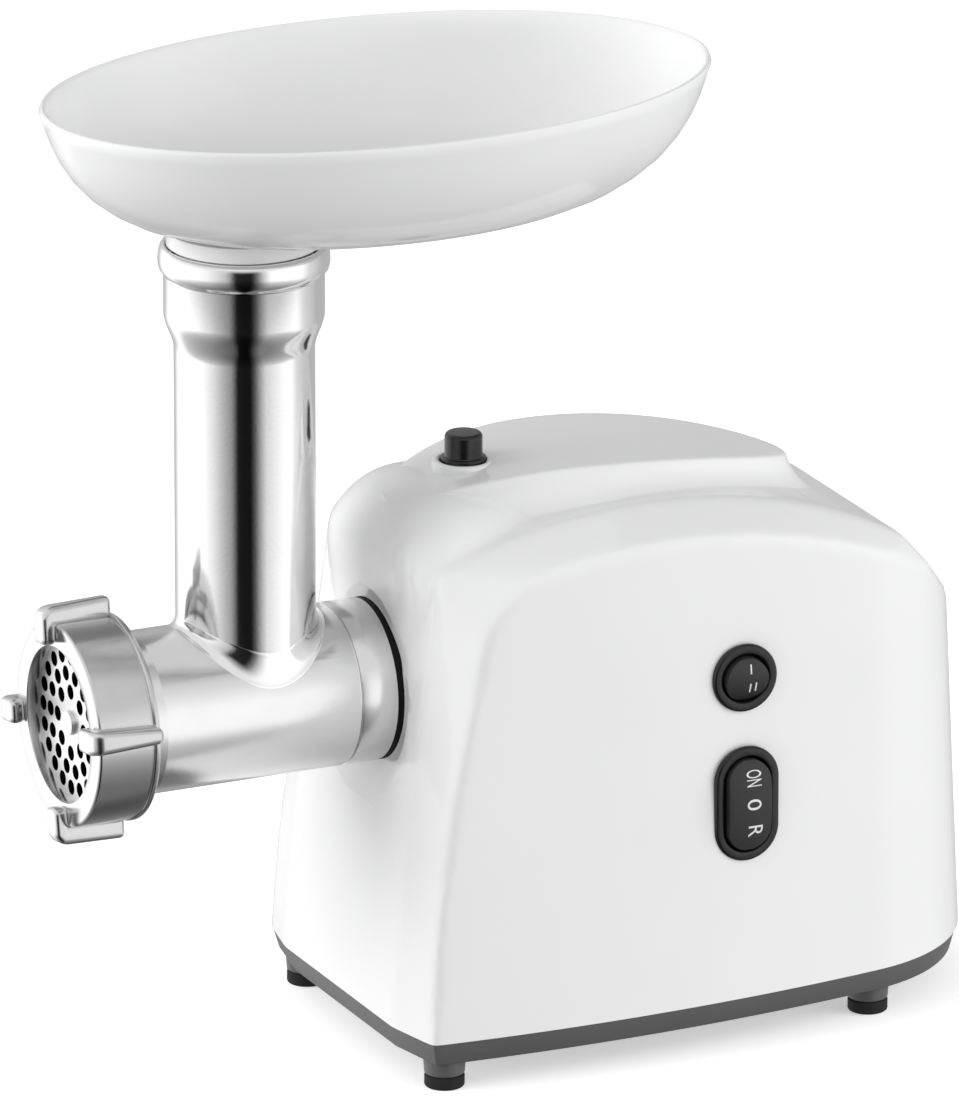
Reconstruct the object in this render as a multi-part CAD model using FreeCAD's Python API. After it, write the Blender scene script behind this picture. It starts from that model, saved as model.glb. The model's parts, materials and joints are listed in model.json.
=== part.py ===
"""Electric meat grinder: moulded casing on a base, grinding head, gear train and motor.

Millimetres, +Z up.  The head points along -X and the switches are on the -Y side.
The origin is under the middle of the whole machine, on the table.
Lengths called "from the mouth" run along X from the casing's mouth face.
"""
import math
import os

import FreeCAD
import Part

# Overall places
head_reach = 116.0
body_reach = 207.0
mouth_x = (head_reach - body_reach) / 2
axis_z = 123.0
running_gap = 0.06
clear_gap = 0.3

# Casing form
casing_wall = 2.6
casing_bottom = 18.0
casing_half_front = 60.0
casing_half_mid = 67.5
casing_rear_radius = 61.0
casing_rear_blend = 9.0
casing_draft = 2.5
front_foot_lean = -12.4
front_top_lean = 3.6
front_top_z = 163.0
shoulder_half = 42.0
panel_half = 60.0
shoulder_mid_z = 184.6
panel_mid_z = 176.5
spine_length = 143.5
spine_width = 57.0
spine_front = 4.5
nose_flare = 0.55
spine_peak_z = 194.5
spine_peak_from_mouth = 60.0
spine_front_arc = 150.0
spine_rear_arc = 236.0
nose_bottom_z = 152.5
mouth_face_half = 36.0

# Base, feet and screws
base_bottom = 10.0
base_wall = 3.0
base_step = 0.4
base_inset = 2.2
foot_radius = 7.0
foot_pad_height = 4.5
foot_front_from_mouth = 1.0
foot_front_half = 54.0
foot_rear_from_mouth = 157.0
foot_rear_half = 48.0
screw_radius = 2.0
screw_boss_radius = 5.0
screw_head_radius = 3.6
screw_head_height = 2.4
screw_front_from_mouth = 22.0
screw_rear_from_mouth = 140.0
screw_half = 48.0
screw_boss_height = 22.0
screw_gap = 0.2
cradle_half = 24.0
cradle_thick = 4.0
vent_count = 7
vent_pitch = 7.0
vent_width = 3.0
vent_half = 22.0
gland_z = 34.0
gland_radius = 6.1
gland_bore = 3.6
gland_flange = 2.5

# Mouth ring and grinding head
ring_radius = 26.4
ring_proud = 2.6
ring_depth = 16.0
ring_bore = 23.6
ring_flange_radius = 31.0
ring_flange = 4.0
barrel_radius = 26.7
barrel_bore = 22.6
spigot_radius = 21.5
spigot_bore = 18.0
spigot_length = 18.0
lug_count = 2
lug_span = 40.0
lug_length = 4.0
lug_reach = 23.3
head_free = 45.0
groove_from_mouth = 15.7
groove_size = 0.8
tube_from_mouth = 44.6
tube_radius = 22.8
tube_wall = 2.4
collar_radius = 26.0
flare_bottom = 119.5
flare_top = 130.5
bead_radius = 27.6
bead_height = 9.0
tube_top = 154.0
thread_radius = 29.5
thread_length = 17.0
plate_radius = 27.0
plate_thickness = 5.0
nut_radius = 33.5
nut_length = 21.4
nut_front_from_mouth = 111.0
nut_opening = 25.6
nut_lip = 4.5
lug_tall = 6.5
lug_wide = 8.5
lug_forward = head_reach - nut_front_from_mouth
plate_hole = 2.5
hole_rings = ((10.4, 8), (16.2, 14), (22.0, 20))

# Food tray
tray_half_length = 114.0
tray_half_width = 72.0
tray_offset = 47.0
tray_rim_z = 325.0
tray_floor_z = 283.0
tray_wall = 2.6
tray_spigot_bore = 20.0
tray_spigot_length = 20.0

# Auger, knife and output drive
auger_core = 8.0
auger_flight = 21.6
auger_pitch = 26.0
flight_thick = 4.0
auger_pin = 4.0
drive_square = 12.0
washer_thick = 2.0
knife_thick = 6.0
knife_reach = barrel_bore - 0.8
knife_blade = 9.0
knife_hub = 10.0
blade_thick = 3.2
knife_turn = 30.0
output_shaft_radius = 11.0
shaft_tail = 8.0
bush_radius = output_shaft_radius + 3.0
bush_proud = 2.0
socket_depth = 14.0

# Gear train
gear_tooth_fill = 0.40
first_module = 1.0
pinion_teeth = 10
first_teeth = 50
second_module = 1.25
second_pinion_teeth = 12
second_teeth = 48
third_module = 1.5
third_pinion_teeth = 12
output_teeth = 48
motor_z = 62.0
first_gear_side = -22.0
gear_pin_radius = 3.0
gear_bore_radius = gear_pin_radius + running_gap
case_front = ring_depth
case_plate = 4.0
case_half = 46.0
case_low = 34.0
case_corner = 16.0
leg_half = 24.0
case_high = 158.0
third_plane = 24.0
third_face = 12.0
second_plane = 38.0
second_face = 10.0
first_plane = 50.0
first_face = 8.0
cover_from_mouth = 62.0
spacer_radius = 4.0

# Motor
stator_radius = 34.0
stator_from_mouth = 84.0
stator_length = 38.0
armature_radius = 19.0
armature_gap = 0.7
motor_shaft_radius = 3.5
commutator_radius = 11.0
commutator_length = 14.0
commutator_from_mouth = 132.0
fan_radius = 28.0
fan_from_mouth = 70.0
fan_length = 8.0
bracket_from_mouth = 152.0
bracket_thick = 5.0
bracket_corner = 12.0
bracket_half = 30.0
bracket_above = 22.0
brush_reach = 28.0
brush_half = 4.0
bearing_radius = 8.0
coil_thick = 9.0

# Switches and button
switch_from_mouth = 104.5
speed_switch_z = 127.0
power_switch_z = 84.5
frame_radius = 11.5
oval_half = 19.6
rocker_gap = 0.8
frame_proud = 2.2
frame_depth = 12.0
frame_rim = 3.2
speed_tilt = 9.0
rocker_crown = 2.0
button_from_mouth = 33.0
button_radius = 6.2
button_flange_radius = 7.4
button_height = 9.0
button_collar = 1.2
button_seat_depth = 24.0
button_stem_radius = 2.0
button_shelf_half = 9.0
collar_ring_radius = 9.6
spring_wire = 0.7
spring_radius = 4.6
spring_turns = 5

V = FreeCAD.Vector
X_AXIS = V(1, 0, 0)
Z_AXIS = V(0, 0, 1)


def at(from_mouth):
    return mouth_x + from_mouth


def rod(radius, start, end, y=0.0, z=axis_z):
    """A round bar along X between two places measured from the mouth."""
    return Part.makeCylinder(radius, end - start, V(at(start), y, z), X_AXIS)


def post(radius, x, y, low, high):
    return Part.makeCylinder(radius, high - low, V(x, y, low), Z_AXIS)


def block(x0, x1, y0, y1, z0, z1):
    return Part.makeBox(x1 - x0, y1 - y0, z1 - z0, V(x0, y0, z0))


def pipe(outer, inner, start, end, y=0.0, z=axis_z):
    return rod(outer, start, end, y, z).cut(rod(inner, start - 1, end + 1, y, z))


def fused(shapes):
    shape = shapes[0]
    for other in shapes[1:]:
        shape = shape.fuse(other)
    return shape.removeSplitter()


def save(name, shape):
    shape.exportStep("parts/%s.step" % name)


def line(a, b):
    return Part.LineSegment(a, b).toShape()


def arc(a, b, c):
    return Part.Arc(a, b, c).toShape()


# Casing: plan, shoulder and spine, each drawn at an inset from the outer skin

def plan_wire(inset, z):
    """Straight front, bowed sides and a round back, all drawn in by the inset."""
    radius = casing_rear_radius - inset
    centre = body_reach - casing_rear_radius
    blend = math.radians(casing_rear_blend)
    front = at(-40.0)
    side_x = at(centre + radius * math.sin(blend))
    side_y = radius * math.cos(blend)
    mid_x = (front + side_x) / 2
    mid_y = casing_half_mid - inset
    half = casing_half_front - inset
    back = V(at(centre + radius), 0, z)
    return Part.Wire([
        line(V(front, half, z), V(front, -half, z)),
        arc(V(front, -half, z), V(mid_x, -mid_y, z), V(side_x, -side_y, z)),
        arc(V(side_x, -side_y, z), back, V(side_x, side_y, z)),
        arc(V(side_x, side_y, z), V(mid_x, mid_y, z), V(front, half, z)),
    ])


def plan_solid(inset, low, high):
    taper = math.tan(math.radians(casing_draft))
    bottom = plan_wire(inset + (low - casing_bottom) * taper, low)
    top = plan_wire(inset + (high - casing_bottom) * taper, high)
    return Part.makeLoft([bottom, top], True, True)


def shoulder_points(side):
    """Corner points of the side outline: at the shoulder (0) or at the side panel (1)."""
    middle = (
        (front_foot_lean - 0.9, 5.0), (-5.0, 92.0), (front_top_lean, front_top_z),
        (5.5, 169.0), (10.0, 172.0),
        (78.0, shoulder_mid_z), (171.5, 160.5),
        (226.0, 98.0), (226.0, 5.0),
    )
    panel = (
        (front_foot_lean + 3.6, 5.0), (1.0, 92.0), (10.5, 137.0),
        (19.5, 160.5), (40.0, 172.5),
        (85.0, panel_mid_z), (160.0, 154.5),
        (226.0, 114.0), (226.0, 5.0),
    )
    mixed = []
    for (mx, mz), (px, pz) in zip(middle, panel):
        mixed.append((mx + (px - mx) * side, mz + (pz - mz) * side))
    return mixed


def shoulder_wire(side, y, inset):
    drawn_in = ((1, 0), (1, 0), (1, 0), (0.7, -0.7), (0, -1), (0, -1), (-0.5, -0.85), (-1, 0), (-1, 0))
    p = []
    for (x, z), (dx, dz) in zip(shoulder_points(side), drawn_in):
        p.append(V(at(x + dx * inset), y, z + dz * inset))
    return Part.Wire([
        arc(p[0], p[1], p[2]), arc(p[2], p[3], p[4]), arc(p[4], p[5], p[6]),
        line(p[6], p[7]), line(p[7], p[8]), line(p[8], p[0]),
    ])


def shoulder_solid(inset):
    reach = casing_half_mid + 5.0
    outer = (reach - shoulder_half) / (panel_half - shoulder_half)
    inner_y = shoulder_half - inset
    wires = [
        shoulder_wire(outer, -reach, inset), shoulder_wire(0, -inner_y, inset),
        shoulder_wire(0, inner_y, inset), shoulder_wire(outer, reach, inset),
    ]
    return Part.makeLoft(wires, True, True)


def spine_height(x):
    """Height of the arched top, with a tighter arc towards the nose."""
    run = x - spine_peak_from_mouth
    radius = spine_rear_arc if run > 0 else spine_front_arc
    return spine_peak_z - radius + math.sqrt(radius * radius - run * run)


def spine_wire(inset, out, drop, level=None):
    """An oval about the spine, flared by out and lying drop below the arched top."""
    centre = spine_front + spine_length / 2
    points = []
    steps = 24
    for i in range(steps):
        turn = 2 * math.pi * i / steps
        share = 1.0 if math.cos(turn) > 0 else nose_flare
        along = spine_length / 2 - inset + out * share
        x = centre + along * math.cos(turn)
        y = (spine_width / 2 - inset + out) * math.sin(turn)
        z = spine_height(x) - drop - inset if level is None else level
        points.append(V(at(x), y, z))
    curve = Part.BSplineCurve()
    curve.interpolate(Points=points, PeriodicFlag=True)
    return Part.Wire([curve.toShape()])


def spine_solid(inset):
    flare = ((-1.0, -12.0), (0.3, 0.4), (3.9, 4.9), (8.8, 10.0), (15.2, 15.0), (23.6, 19.9), (25.5, 34.0))
    wires = [spine_wire(inset, -3.0, 0, 232.0)]
    for out, drop in flare:
        wires.append(spine_wire(inset, out, drop))
    wires.append(spine_wire(inset, 26.0, 0, 112.0))
    flared = Part.makeLoft(wires, True, True)
    if flared.Volume < 0:
        flared.reverse()
    ends = (-60.0, spine_peak_from_mouth, 200.0)
    tops = [V(at(x), 0, spine_height(x) - inset) for x in ends]
    middles = [V(at(x), 0, spine_height(x) - inset) for x in (0.0, 130.0)]
    low_front = V(at(ends[0]), 0, nose_bottom_z + inset)
    low_rear = V(at(ends[2]), 0, nose_bottom_z + inset)
    outline = Part.Wire([
        line(low_front, tops[0]), arc(tops[0], middles[0], tops[1]), arc(tops[1], middles[1], tops[2]),
        line(tops[2], low_rear), line(low_rear, low_front),
    ])
    depth = casing_half_mid * 2
    slab = Part.Face(outline).extrude(V(0, depth, 0))
    slab.translate(V(0, -depth / 2, 0))
    return flared.common(slab)


def casing_solid(inset, low):
    body = plan_solid(inset, low, 215.0).common(shoulder_solid(inset))
    below = block(at(-80), at(260), -100, 100, -50, low)
    body = body.cut(below)
    mouth_face = block(at(inset), at(14.0), -mouth_face_half + inset, mouth_face_half - inset,
                       axis_z, nose_bottom_z + inset + 2)
    return body.fuse(mouth_face).fuse(spine_solid(inset))


def side_y(x, z):
    """Y of the casing's switch side at a place, from the bowed and drafted plan."""
    taper = math.tan(math.radians(casing_draft)) * (z - casing_bottom)
    wire = plan_wire(taper, z)
    probe = line(V(at(x), -200, z), V(at(x), 0, z))
    return probe.distToShape(wire)[1][0][1].y


button_base_z = spine_height(button_from_mouth)
button_seat_z = button_base_z - button_seat_depth
switch_x = at(switch_from_mouth)
speed_y = side_y(switch_from_mouth, speed_switch_z)
power_y = side_y(switch_from_mouth, power_switch_z)


def oval_wire(radius, straight, x, y, z):
    """A round-ended outline standing in the XZ plane, straight along Z."""
    top = z + straight
    low = z - straight
    return Part.Wire([
        line(V(x + radius, y, low), V(x + radius, y, top)),
        arc(V(x + radius, y, top), V(x, y, top + radius), V(x - radius, y, top)),
        line(V(x - radius, y, top), V(x - radius, y, low)),
        arc(V(x - radius, y, low), V(x, y, low - radius), V(x + radius, y, low)),
    ])


def oval_bar(radius, straight, y0, y1, z):
    if straight > 0:
        face = Part.Face(oval_wire(radius, straight, switch_x, y0, z))
        return face.extrude(V(0, y1 - y0, 0))
    return Part.makeCylinder(radius, y1 - y0, V(switch_x, y0, z), V(0, 1, 0))


def upper_casing():
    shell = casing_solid(0.0, casing_bottom)
    inner = casing_solid(casing_wall, casing_bottom - 20)
    shell = shell.cut(inner)
    shell = shell.cut(rod(ring_radius + clear_gap, -40, 15))
    switches = ((speed_y, speed_switch_z, 0.0), (power_y, power_switch_z, oval_half - frame_radius))
    for y, z, straight in switches:
        hole = oval_bar(frame_radius - 1.0, straight, y - 12, y + 12, z)
        flat = oval_bar(frame_radius + 0.2, straight, y - 12, y + 0.0, z)
        shell = shell.cut(hole).cut(flat)
    collar_top = button_base_z + button_collar
    collar = post(collar_ring_radius, at(button_from_mouth), 0, button_base_z - 10, collar_top)
    shell = shell.fuse(collar)
    shell = shell.cut(post(button_flange_radius + clear_gap, at(button_from_mouth), 0, 150, 230))
    shell = shell.cut(rod(gland_radius + 0.1, body_reach - 15, body_reach + 15, 0, gland_z))
    for x, y in screw_places():
        boss = post(screw_boss_radius, x, y, casing_bottom, casing_bottom + screw_boss_height)
        rib_y = casing_half_mid if y > 0 else -casing_half_mid
        rib = block(x - 1.5, x + 1.5, min(y, rib_y), max(y, rib_y), casing_bottom + 2,
                    casing_bottom + screw_boss_height)
        rib = rib.common(casing_solid(1.0, casing_bottom))
        shell = shell.fuse(boss.fuse(rib))
        screw_hole = post(screw_radius, x, y, casing_bottom - 1, casing_bottom + screw_boss_height - 4)
        shell = shell.cut(screw_hole)
    return shell.removeSplitter()


def screw_places():
    places = []
    for from_mouth in (screw_front_from_mouth, screw_rear_from_mouth):
        for side in (-1, 1):
            places.append((at(from_mouth), side * screw_half))
    return places


def foot_places():
    return (
        (at(foot_front_from_mouth), -foot_front_half), (at(foot_front_from_mouth), foot_front_half),
        (at(foot_rear_from_mouth), -foot_rear_half), (at(foot_rear_from_mouth), foot_rear_half),
    )


def base_section(inset, z):
    """The casing's footprint at its lower edge, drawn in by the inset, as a flat face."""
    slice_solid = plan_solid(inset, casing_bottom - 1, casing_bottom + 40)
    slice_solid = slice_solid.common(shoulder_solid(inset))
    wires = slice_solid.slice(Z_AXIS, casing_bottom + 0.01)
    wire = wires[0].copy()
    wire.translate(V(0, 0, z - casing_bottom - 0.01))
    return wire


def base_tray():
    top = base_section(base_step, casing_bottom)
    bottom = base_section(base_step + base_inset, base_bottom)
    tray = Part.makeLoft([bottom, top], True, True)
    inner_top = base_section(base_step + base_wall, casing_bottom + 1)
    inner_low = base_section(base_step + base_wall + base_inset, base_bottom + base_wall)
    tray = tray.cut(Part.makeLoft([inner_low, inner_top], True, True))
    floor_top = base_bottom + base_wall
    for x, y in screw_places():
        tray = tray.fuse(post(screw_boss_radius, x, y, floor_top, casing_bottom))
        tray = tray.cut(post(screw_radius + screw_gap, x, y, base_bottom - 1, casing_bottom + 1))
        seat = post(screw_head_radius + screw_gap, x, y, base_bottom - 1, base_bottom + screw_head_height)
        tray = tray.cut(seat)
    stator_end = stator_from_mouth + stator_length
    for from_mouth in (stator_from_mouth + cradle_thick, stator_end - 2 * cradle_thick):
        cradle = block(at(from_mouth), at(from_mouth + cradle_thick), -cradle_half, cradle_half,
                       floor_top, motor_z)
        tray = tray.fuse(cradle.cut(rod(stator_radius, stator_from_mouth, stator_end, 0, motor_z)))
    for i in range(vent_count):
        x = at(stator_end + vent_pitch + i * vent_pitch)
        tray = tray.cut(block(x, x + vent_width, -vent_half, vent_half, base_bottom - 1, floor_top + 1))
    return tray.removeSplitter()


def foot(x, y):
    body = Part.makeCone(foot_radius - 0.4, foot_radius, base_bottom - foot_pad_height,
                         V(x, y, foot_pad_height), Z_AXIS)
    return body


def foot_pad(x, y):
    pad = post(foot_radius - 0.4, x, y, 0, foot_pad_height)
    edge = [e for e in pad.Edges if abs(e.BoundBox.ZMax) < 0.01]
    return pad.makeFillet(0.9, edge)


def base_screws():
    screws = []
    for x, y in screw_places():
        low = base_bottom
        head = post(screw_head_radius, x, y, low, low + screw_head_height)
        top = casing_bottom + screw_boss_height - 8
        shank = post(screw_radius - 0.02, x, y, low + screw_head_height, top)
        screws.append(head.fuse(shank))
    return Part.makeCompound(screws)


def cord_gland():
    """A plain bush through the rear wall, held by its flange inside the casing."""
    skin = body_reach - (gland_z - casing_bottom) * math.tan(math.radians(casing_draft))
    inside = skin - casing_wall - 1.2
    gland = rod(gland_radius, inside - gland_flange, skin + 0.4, 0, gland_z)
    gland = gland.fuse(rod(gland_radius + 2.4, inside - gland_flange, inside, 0, gland_z))
    return gland.cut(rod(gland_bore, inside - 20, skin + 20, 0, gland_z)).removeSplitter()


# Mouth ring: black bayonet seat behind the casing's mouth

def mouth_ring():
    ring = pipe(ring_radius, ring_bore, -ring_proud, ring_depth)
    ring = ring.fuse(pipe(ring_flange_radius, ring_bore, ring_depth - ring_flange, ring_depth))
    inward = pipe(ring_radius - 0.5, spigot_radius + clear_gap, -ring_proud, -ring_proud + 6)
    slot_span = lug_span + 12.0
    for i in range(lug_count):
        sweep = Part.makeCylinder(ring_radius, 8, V(at(-ring_proud - 1), 0, axis_z), X_AXIS, slot_span)
        sweep.rotate(V(0, 0, axis_z), X_AXIS, lug_turn(i) + head_free - slot_span / 2)
        inward = inward.cut(sweep)
    return ring.fuse(inward).removeSplitter()


def lug_turn(i):
    return 360.0 / lug_count * i + 20.0


def grinder_barrel():
    front = -nut_front_from_mouth + nut_lip + plate_thickness
    shell = rod(barrel_radius, front + thread_length, -ring_proud)
    shell = shell.fuse(rod(thread_radius, front, front + thread_length))
    shell = shell.fuse(rod(spigot_radius, -ring_proud - 1, spigot_length - ring_proud))
    for i in range(lug_count):
        start = spigot_length - ring_proud - lug_length
        lug = Part.makeCylinder(lug_reach, lug_length, V(at(start), 0, axis_z), X_AXIS, lug_span)
        lug.rotate(V(0, 0, axis_z), X_AXIS, lug_turn(i) - lug_span / 2)
        shell = shell.fuse(lug)
    shell = shell.cut(rod(barrel_bore, front - 1, -ring_proud - 2))
    shell = shell.cut(rod(spigot_bore, -ring_proud - 3, spigot_length))
    throat = post(tube_radius - tube_wall, at(-tube_from_mouth), 0, axis_z, axis_z + 60)
    shell = shell.cut(throat)
    groove_end = -groove_from_mouth + groove_size
    groove = pipe(barrel_radius + 1, barrel_radius - groove_size, -groove_from_mouth, groove_end)
    shell = shell.cut(groove)
    key = rod(1.6, front - 1, front + 4, 0, axis_z + plate_radius - 1.8)
    return shell.cut(key).removeSplitter()


def feed_tube():
    profile = [
        (tube_radius, 0.0), (tube_radius, flare_bottom), (collar_radius, flare_top),
        (collar_radius, tube_top - bead_height), (bead_radius, tube_top - bead_height + 1.5),
        (bead_radius, tube_top - 1.5), (bead_radius - 1.5, tube_top),
        (tray_spigot_bore + tray_wall + clear_gap, tube_top),
        (tray_spigot_bore + tray_wall + clear_gap, flare_top),
        (tube_radius - tube_wall, flare_bottom), (tube_radius - tube_wall, 0.0),
    ]
    points = [V(at(-tube_from_mouth) + r, 0, axis_z + h) for r, h in profile]
    outline = Part.makePolygon(points + [points[0]])
    tube = Part.Face(outline).revolve(V(at(-tube_from_mouth), 0, 0), Z_AXIS, 360)
    return tube.cut(rod(barrel_radius, -nut_front_from_mouth, 0)).removeSplitter()


def tray_wire(half_length, half_width, z, offset):
    x = at(-tube_from_mouth + offset)
    ellipse = Part.Ellipse(V(x, 0, z), half_length, half_width)
    return Part.Wire([ellipse.toShape()])


def bowl(inset):
    floor = tray_floor_z + inset
    depth = tray_rim_z - floor
    sections = (
        (0.62, 0.60, 0.0), (0.80, 0.79, 0.16), (0.91, 0.90, 0.42), (0.97, 0.97, 0.72), (1.0, 1.0, 1.0),
    )
    wires = []
    for long_share, wide_share, rise in sections:
        wires.append(tray_wire(tray_half_length * long_share - inset, tray_half_width * wide_share - inset,
                               floor + depth * rise, tray_offset))
    return Part.makeLoft(wires, True, False)


def food_tray():
    throat_x = at(-tube_from_mouth)
    spigot_low = axis_z + tube_top - tray_spigot_length
    outer = bowl(0.0).fuse(post(tray_spigot_bore + tray_wall, throat_x, 0, spigot_low, tray_floor_z + 6))
    collar = post(bead_radius - 2.5, throat_x, 0, axis_z + tube_top, tray_floor_z + 6)
    outer = outer.fuse(collar)
    inner = bowl(tray_wall)
    outer = outer.cut(inner)
    throat = post(tray_spigot_bore, throat_x, 0, spigot_low - 1, tray_floor_z + 10)
    return outer.cut(throat).removeSplitter()


def cutting_plate():
    back = -nut_front_from_mouth + nut_lip + plate_thickness
    plate = rod(plate_radius, back - plate_thickness, back)
    for radius, count in hole_rings:
        for i in range(count):
            turn = 2 * math.pi * i / count
            y = radius * math.cos(turn)
            z = axis_z + radius * math.sin(turn)
            plate = plate.cut(rod(plate_hole, back - plate_thickness - 1, back + 1, y, z))
    return plate.cut(rod(auger_pin + running_gap, back - plate_thickness - 1, back + 1))


def ring_nut():
    front = -nut_front_from_mouth
    rear = front + nut_length
    nut = rod(nut_radius, front, rear)
    nut = nut.makeFillet(1.2, [e for e in nut.Edges if abs(e.BoundBox.XLength) < 0.01])
    nut = nut.cut(rod(nut_opening, front - 1, front + nut_lip + 1))
    nut = nut.cut(rod(plate_radius + clear_gap, front + nut_lip, front + nut_lip + plate_thickness))
    nut = nut.cut(rod(thread_radius + clear_gap, front + nut_lip + plate_thickness, rear + 1))
    for i in range(4):
        bar = block(at(front - lug_forward), at(rear - 1), -lug_wide / 2, lug_wide / 2,
                    axis_z + nut_opening + 1.0, axis_z + nut_radius + lug_tall)
        bar = bar.makeFillet(1.6, [e for e in bar.Edges if e.BoundBox.XLength > 5])
        bar = bar.cut(rod(nut_radius - 1.5, front, rear))
        bar.rotate(V(0, 0, axis_z), X_AXIS, 90 * i + 8)
        nut = nut.fuse(bar)
    nut = nut.cut(rod(nut_opening, front - 10, front + nut_lip + 0.5))
    return nut.removeSplitter()


# Auger, knife and their drive

knife_back = -nut_front_from_mouth + nut_lip + plate_thickness + clear_gap + knife_thick
flight_end = -ring_proud - washer_thick - 6.0


def auger():
    screw_front = knife_back + clear_gap
    core = rod(auger_core, screw_front, flight_end + 6)
    length = flight_end - screw_front - 2.0
    helix = Part.makeHelix(auger_pitch, length, auger_flight - 4)
    inner = auger_core - 1.0
    rim = Part.makePolygon([
        V(inner, 0, 0), V(auger_flight, 0, 0.8), V(auger_flight, 0, flight_thick - 0.8),
        V(inner, 0, flight_thick), V(inner, 0, 0),
    ])
    flight = Part.Wire(helix).makePipeShell([rim], True, True)
    flight.rotate(V(0, 0, 0), V(0, 1, 0), 90)
    flight.translate(V(at(screw_front), 0, axis_z))
    shape = core.fuse(flight)
    half = drive_square / 2 - 1.0
    square = block(at(knife_back - knife_thick), at(screw_front + 1), -half, half,
                   axis_z - half, axis_z + half)
    pin = rod(auger_pin, -nut_front_from_mouth + 1.5, knife_back - knife_thick + 1)
    half = drive_square / 2
    tail = block(at(flight_end), at(flight_end + 6 + socket_depth + washer_thick),
                 -half, half, axis_z - half, axis_z + half)
    return fused([shape, square, pin, tail])


def cross_knife():
    start = knife_back - knife_thick
    knife = rod(knife_hub, start, knife_back)
    for i in range(4):
        blade = block(at(start), at(start + blade_thick), -knife_blade / 2, knife_blade / 2,
                      axis_z, axis_z + knife_reach)
        blade.rotate(V(0, 0, axis_z), X_AXIS, 90 * i + knife_turn)
        knife = knife.fuse(blade)
    half = drive_square / 2 - 1.0 + running_gap
    hole = block(at(start - 1), at(knife_back + 1), -half, half, axis_z - half, axis_z + half)
    return knife.cut(hole).removeSplitter()


def auger_washer():
    start = flight_end + 6
    half = drive_square / 2 + running_gap
    hole = block(at(start - 1), at(start + washer_thick + 1), -half, half, axis_z - half, axis_z + half)
    return rod(spigot_bore - 1.0, start, start + washer_thick).cut(hole)


def output_shaft():
    front = flight_end + 6 + washer_thick + 0.2
    shaft = rod(output_shaft_radius, front, third_plane)
    shaft = shaft.fuse(rod(shaft_tail, third_plane, cover_from_mouth + case_plate))
    half = drive_square / 2 + running_gap
    socket = block(at(front - 1), at(front + socket_depth + 1), -half, half, axis_z - half, axis_z + half)
    return shaft.cut(socket).removeSplitter()


def gear(teeth, module, start, face, bore, y, z, turn):
    """A spur gear with straight-flanked teeth, its first tooth turned from +Z about X."""
    pitch_radius = teeth * module / 2
    root = pitch_radius - module
    tip = pitch_radius + module * 0.8
    pitch_angle = 2 * math.pi / teeth
    points = []
    for i in range(teeth):
        middle = math.radians(turn) + i * pitch_angle
        half_root = pitch_angle * gear_tooth_fill * 0.78
        half_tip = pitch_angle * gear_tooth_fill * 0.30
        for radius, offset in ((root, -half_root), (tip, -half_tip), (tip, half_tip), (root, half_root)):
            angle = middle + offset
            points.append(V(at(start), y - radius * math.sin(angle), z + radius * math.cos(angle)))
    outline = Part.makePolygon(points + [points[0]])
    body = Part.Face(outline).extrude(V(face, 0, 0))
    return body.cut(rod(bore, start - 1, start + face + 1, y, z)) if bore else body


def gear_axes():
    """YZ places of the first and second gear pins, from the gears' centre distances."""
    near = (pinion_teeth + first_teeth) * first_module / 2
    first = (first_gear_side, motor_z + math.sqrt(near * near - first_gear_side * first_gear_side))
    middle = (second_pinion_teeth + second_teeth) * second_module / 2
    far = (third_pinion_teeth + output_teeth) * third_module / 2
    dy = first[0]
    dz = first[1] - axis_z
    gap = math.hypot(dy, dz)
    along = (far * far - middle * middle + gap * gap) / (2 * gap)
    across = math.sqrt(far * far - along * along)
    second = (along * dy / gap - across * dz / gap, axis_z + along * dz / gap + across * dy / gap)
    return first, second


def mesh_turn(own, other, own_teeth):
    """Turn that puts a gap of this gear on the line to the other gear's axis."""
    angle = math.degrees(math.atan2(-(other[0] - own[0]), other[1] - own[1]))
    return angle + 180.0 / own_teeth


def line_turn(own, other):
    return math.degrees(math.atan2(-(other[0] - own[0]), other[1] - own[1]))


first_axis, second_axis = gear_axes()
motor_axis = (0.0, motor_z)
output_axis = (0.0, axis_z)


def first_gear():
    y, z = first_axis
    wheel = gear(first_teeth, first_module, first_plane, first_face, gear_bore_radius, y, z,
                 mesh_turn(first_axis, motor_axis, first_teeth))
    hub = pipe(second_pinion_teeth * second_module / 2 - second_module, gear_bore_radius,
               second_plane + second_face, first_plane, y, z)
    small = gear(second_pinion_teeth, second_module, second_plane, second_face, gear_bore_radius, y, z,
                 line_turn(first_axis, second_axis))
    return fused([wheel, hub, small])


def second_gear():
    y, z = second_axis
    wheel = gear(second_teeth, second_module, second_plane, second_face, gear_bore_radius, y, z,
                 mesh_turn(second_axis, first_axis, second_teeth))
    hub = pipe(third_pinion_teeth * third_module / 2 - third_module, gear_bore_radius,
               third_plane + third_face, second_plane, y, z)
    small = gear(third_pinion_teeth, third_module, third_plane, third_face, gear_bore_radius, y, z,
                 line_turn(second_axis, output_axis))
    return fused([wheel, hub, small])


def output_gear():
    return gear(output_teeth, third_module, third_plane, third_face, shaft_tail, 0, axis_z,
                mesh_turn(output_axis, second_axis, output_teeth))


def gear_pins():
    pins = []
    for y, z in (first_axis, second_axis):
        pins.append(rod(gear_pin_radius, case_front, cover_from_mouth + case_plate, y, z))
    return Part.makeCompound(pins)


def case_outline(start, end):
    plate = block(at(start), at(end), -case_half, case_half, case_low, case_high)
    edges = [e for e in plate.Edges if e.BoundBox.XLength > 1]
    return plate.makeFillet(case_corner, edges)


def spacer_places():
    side = case_half - 2 * spacer_radius
    low = case_low + 3 * spacer_radius
    high = case_high - 4 * spacer_radius
    return ((-side, low), (side, low), (-side, high), (side, high))


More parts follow.
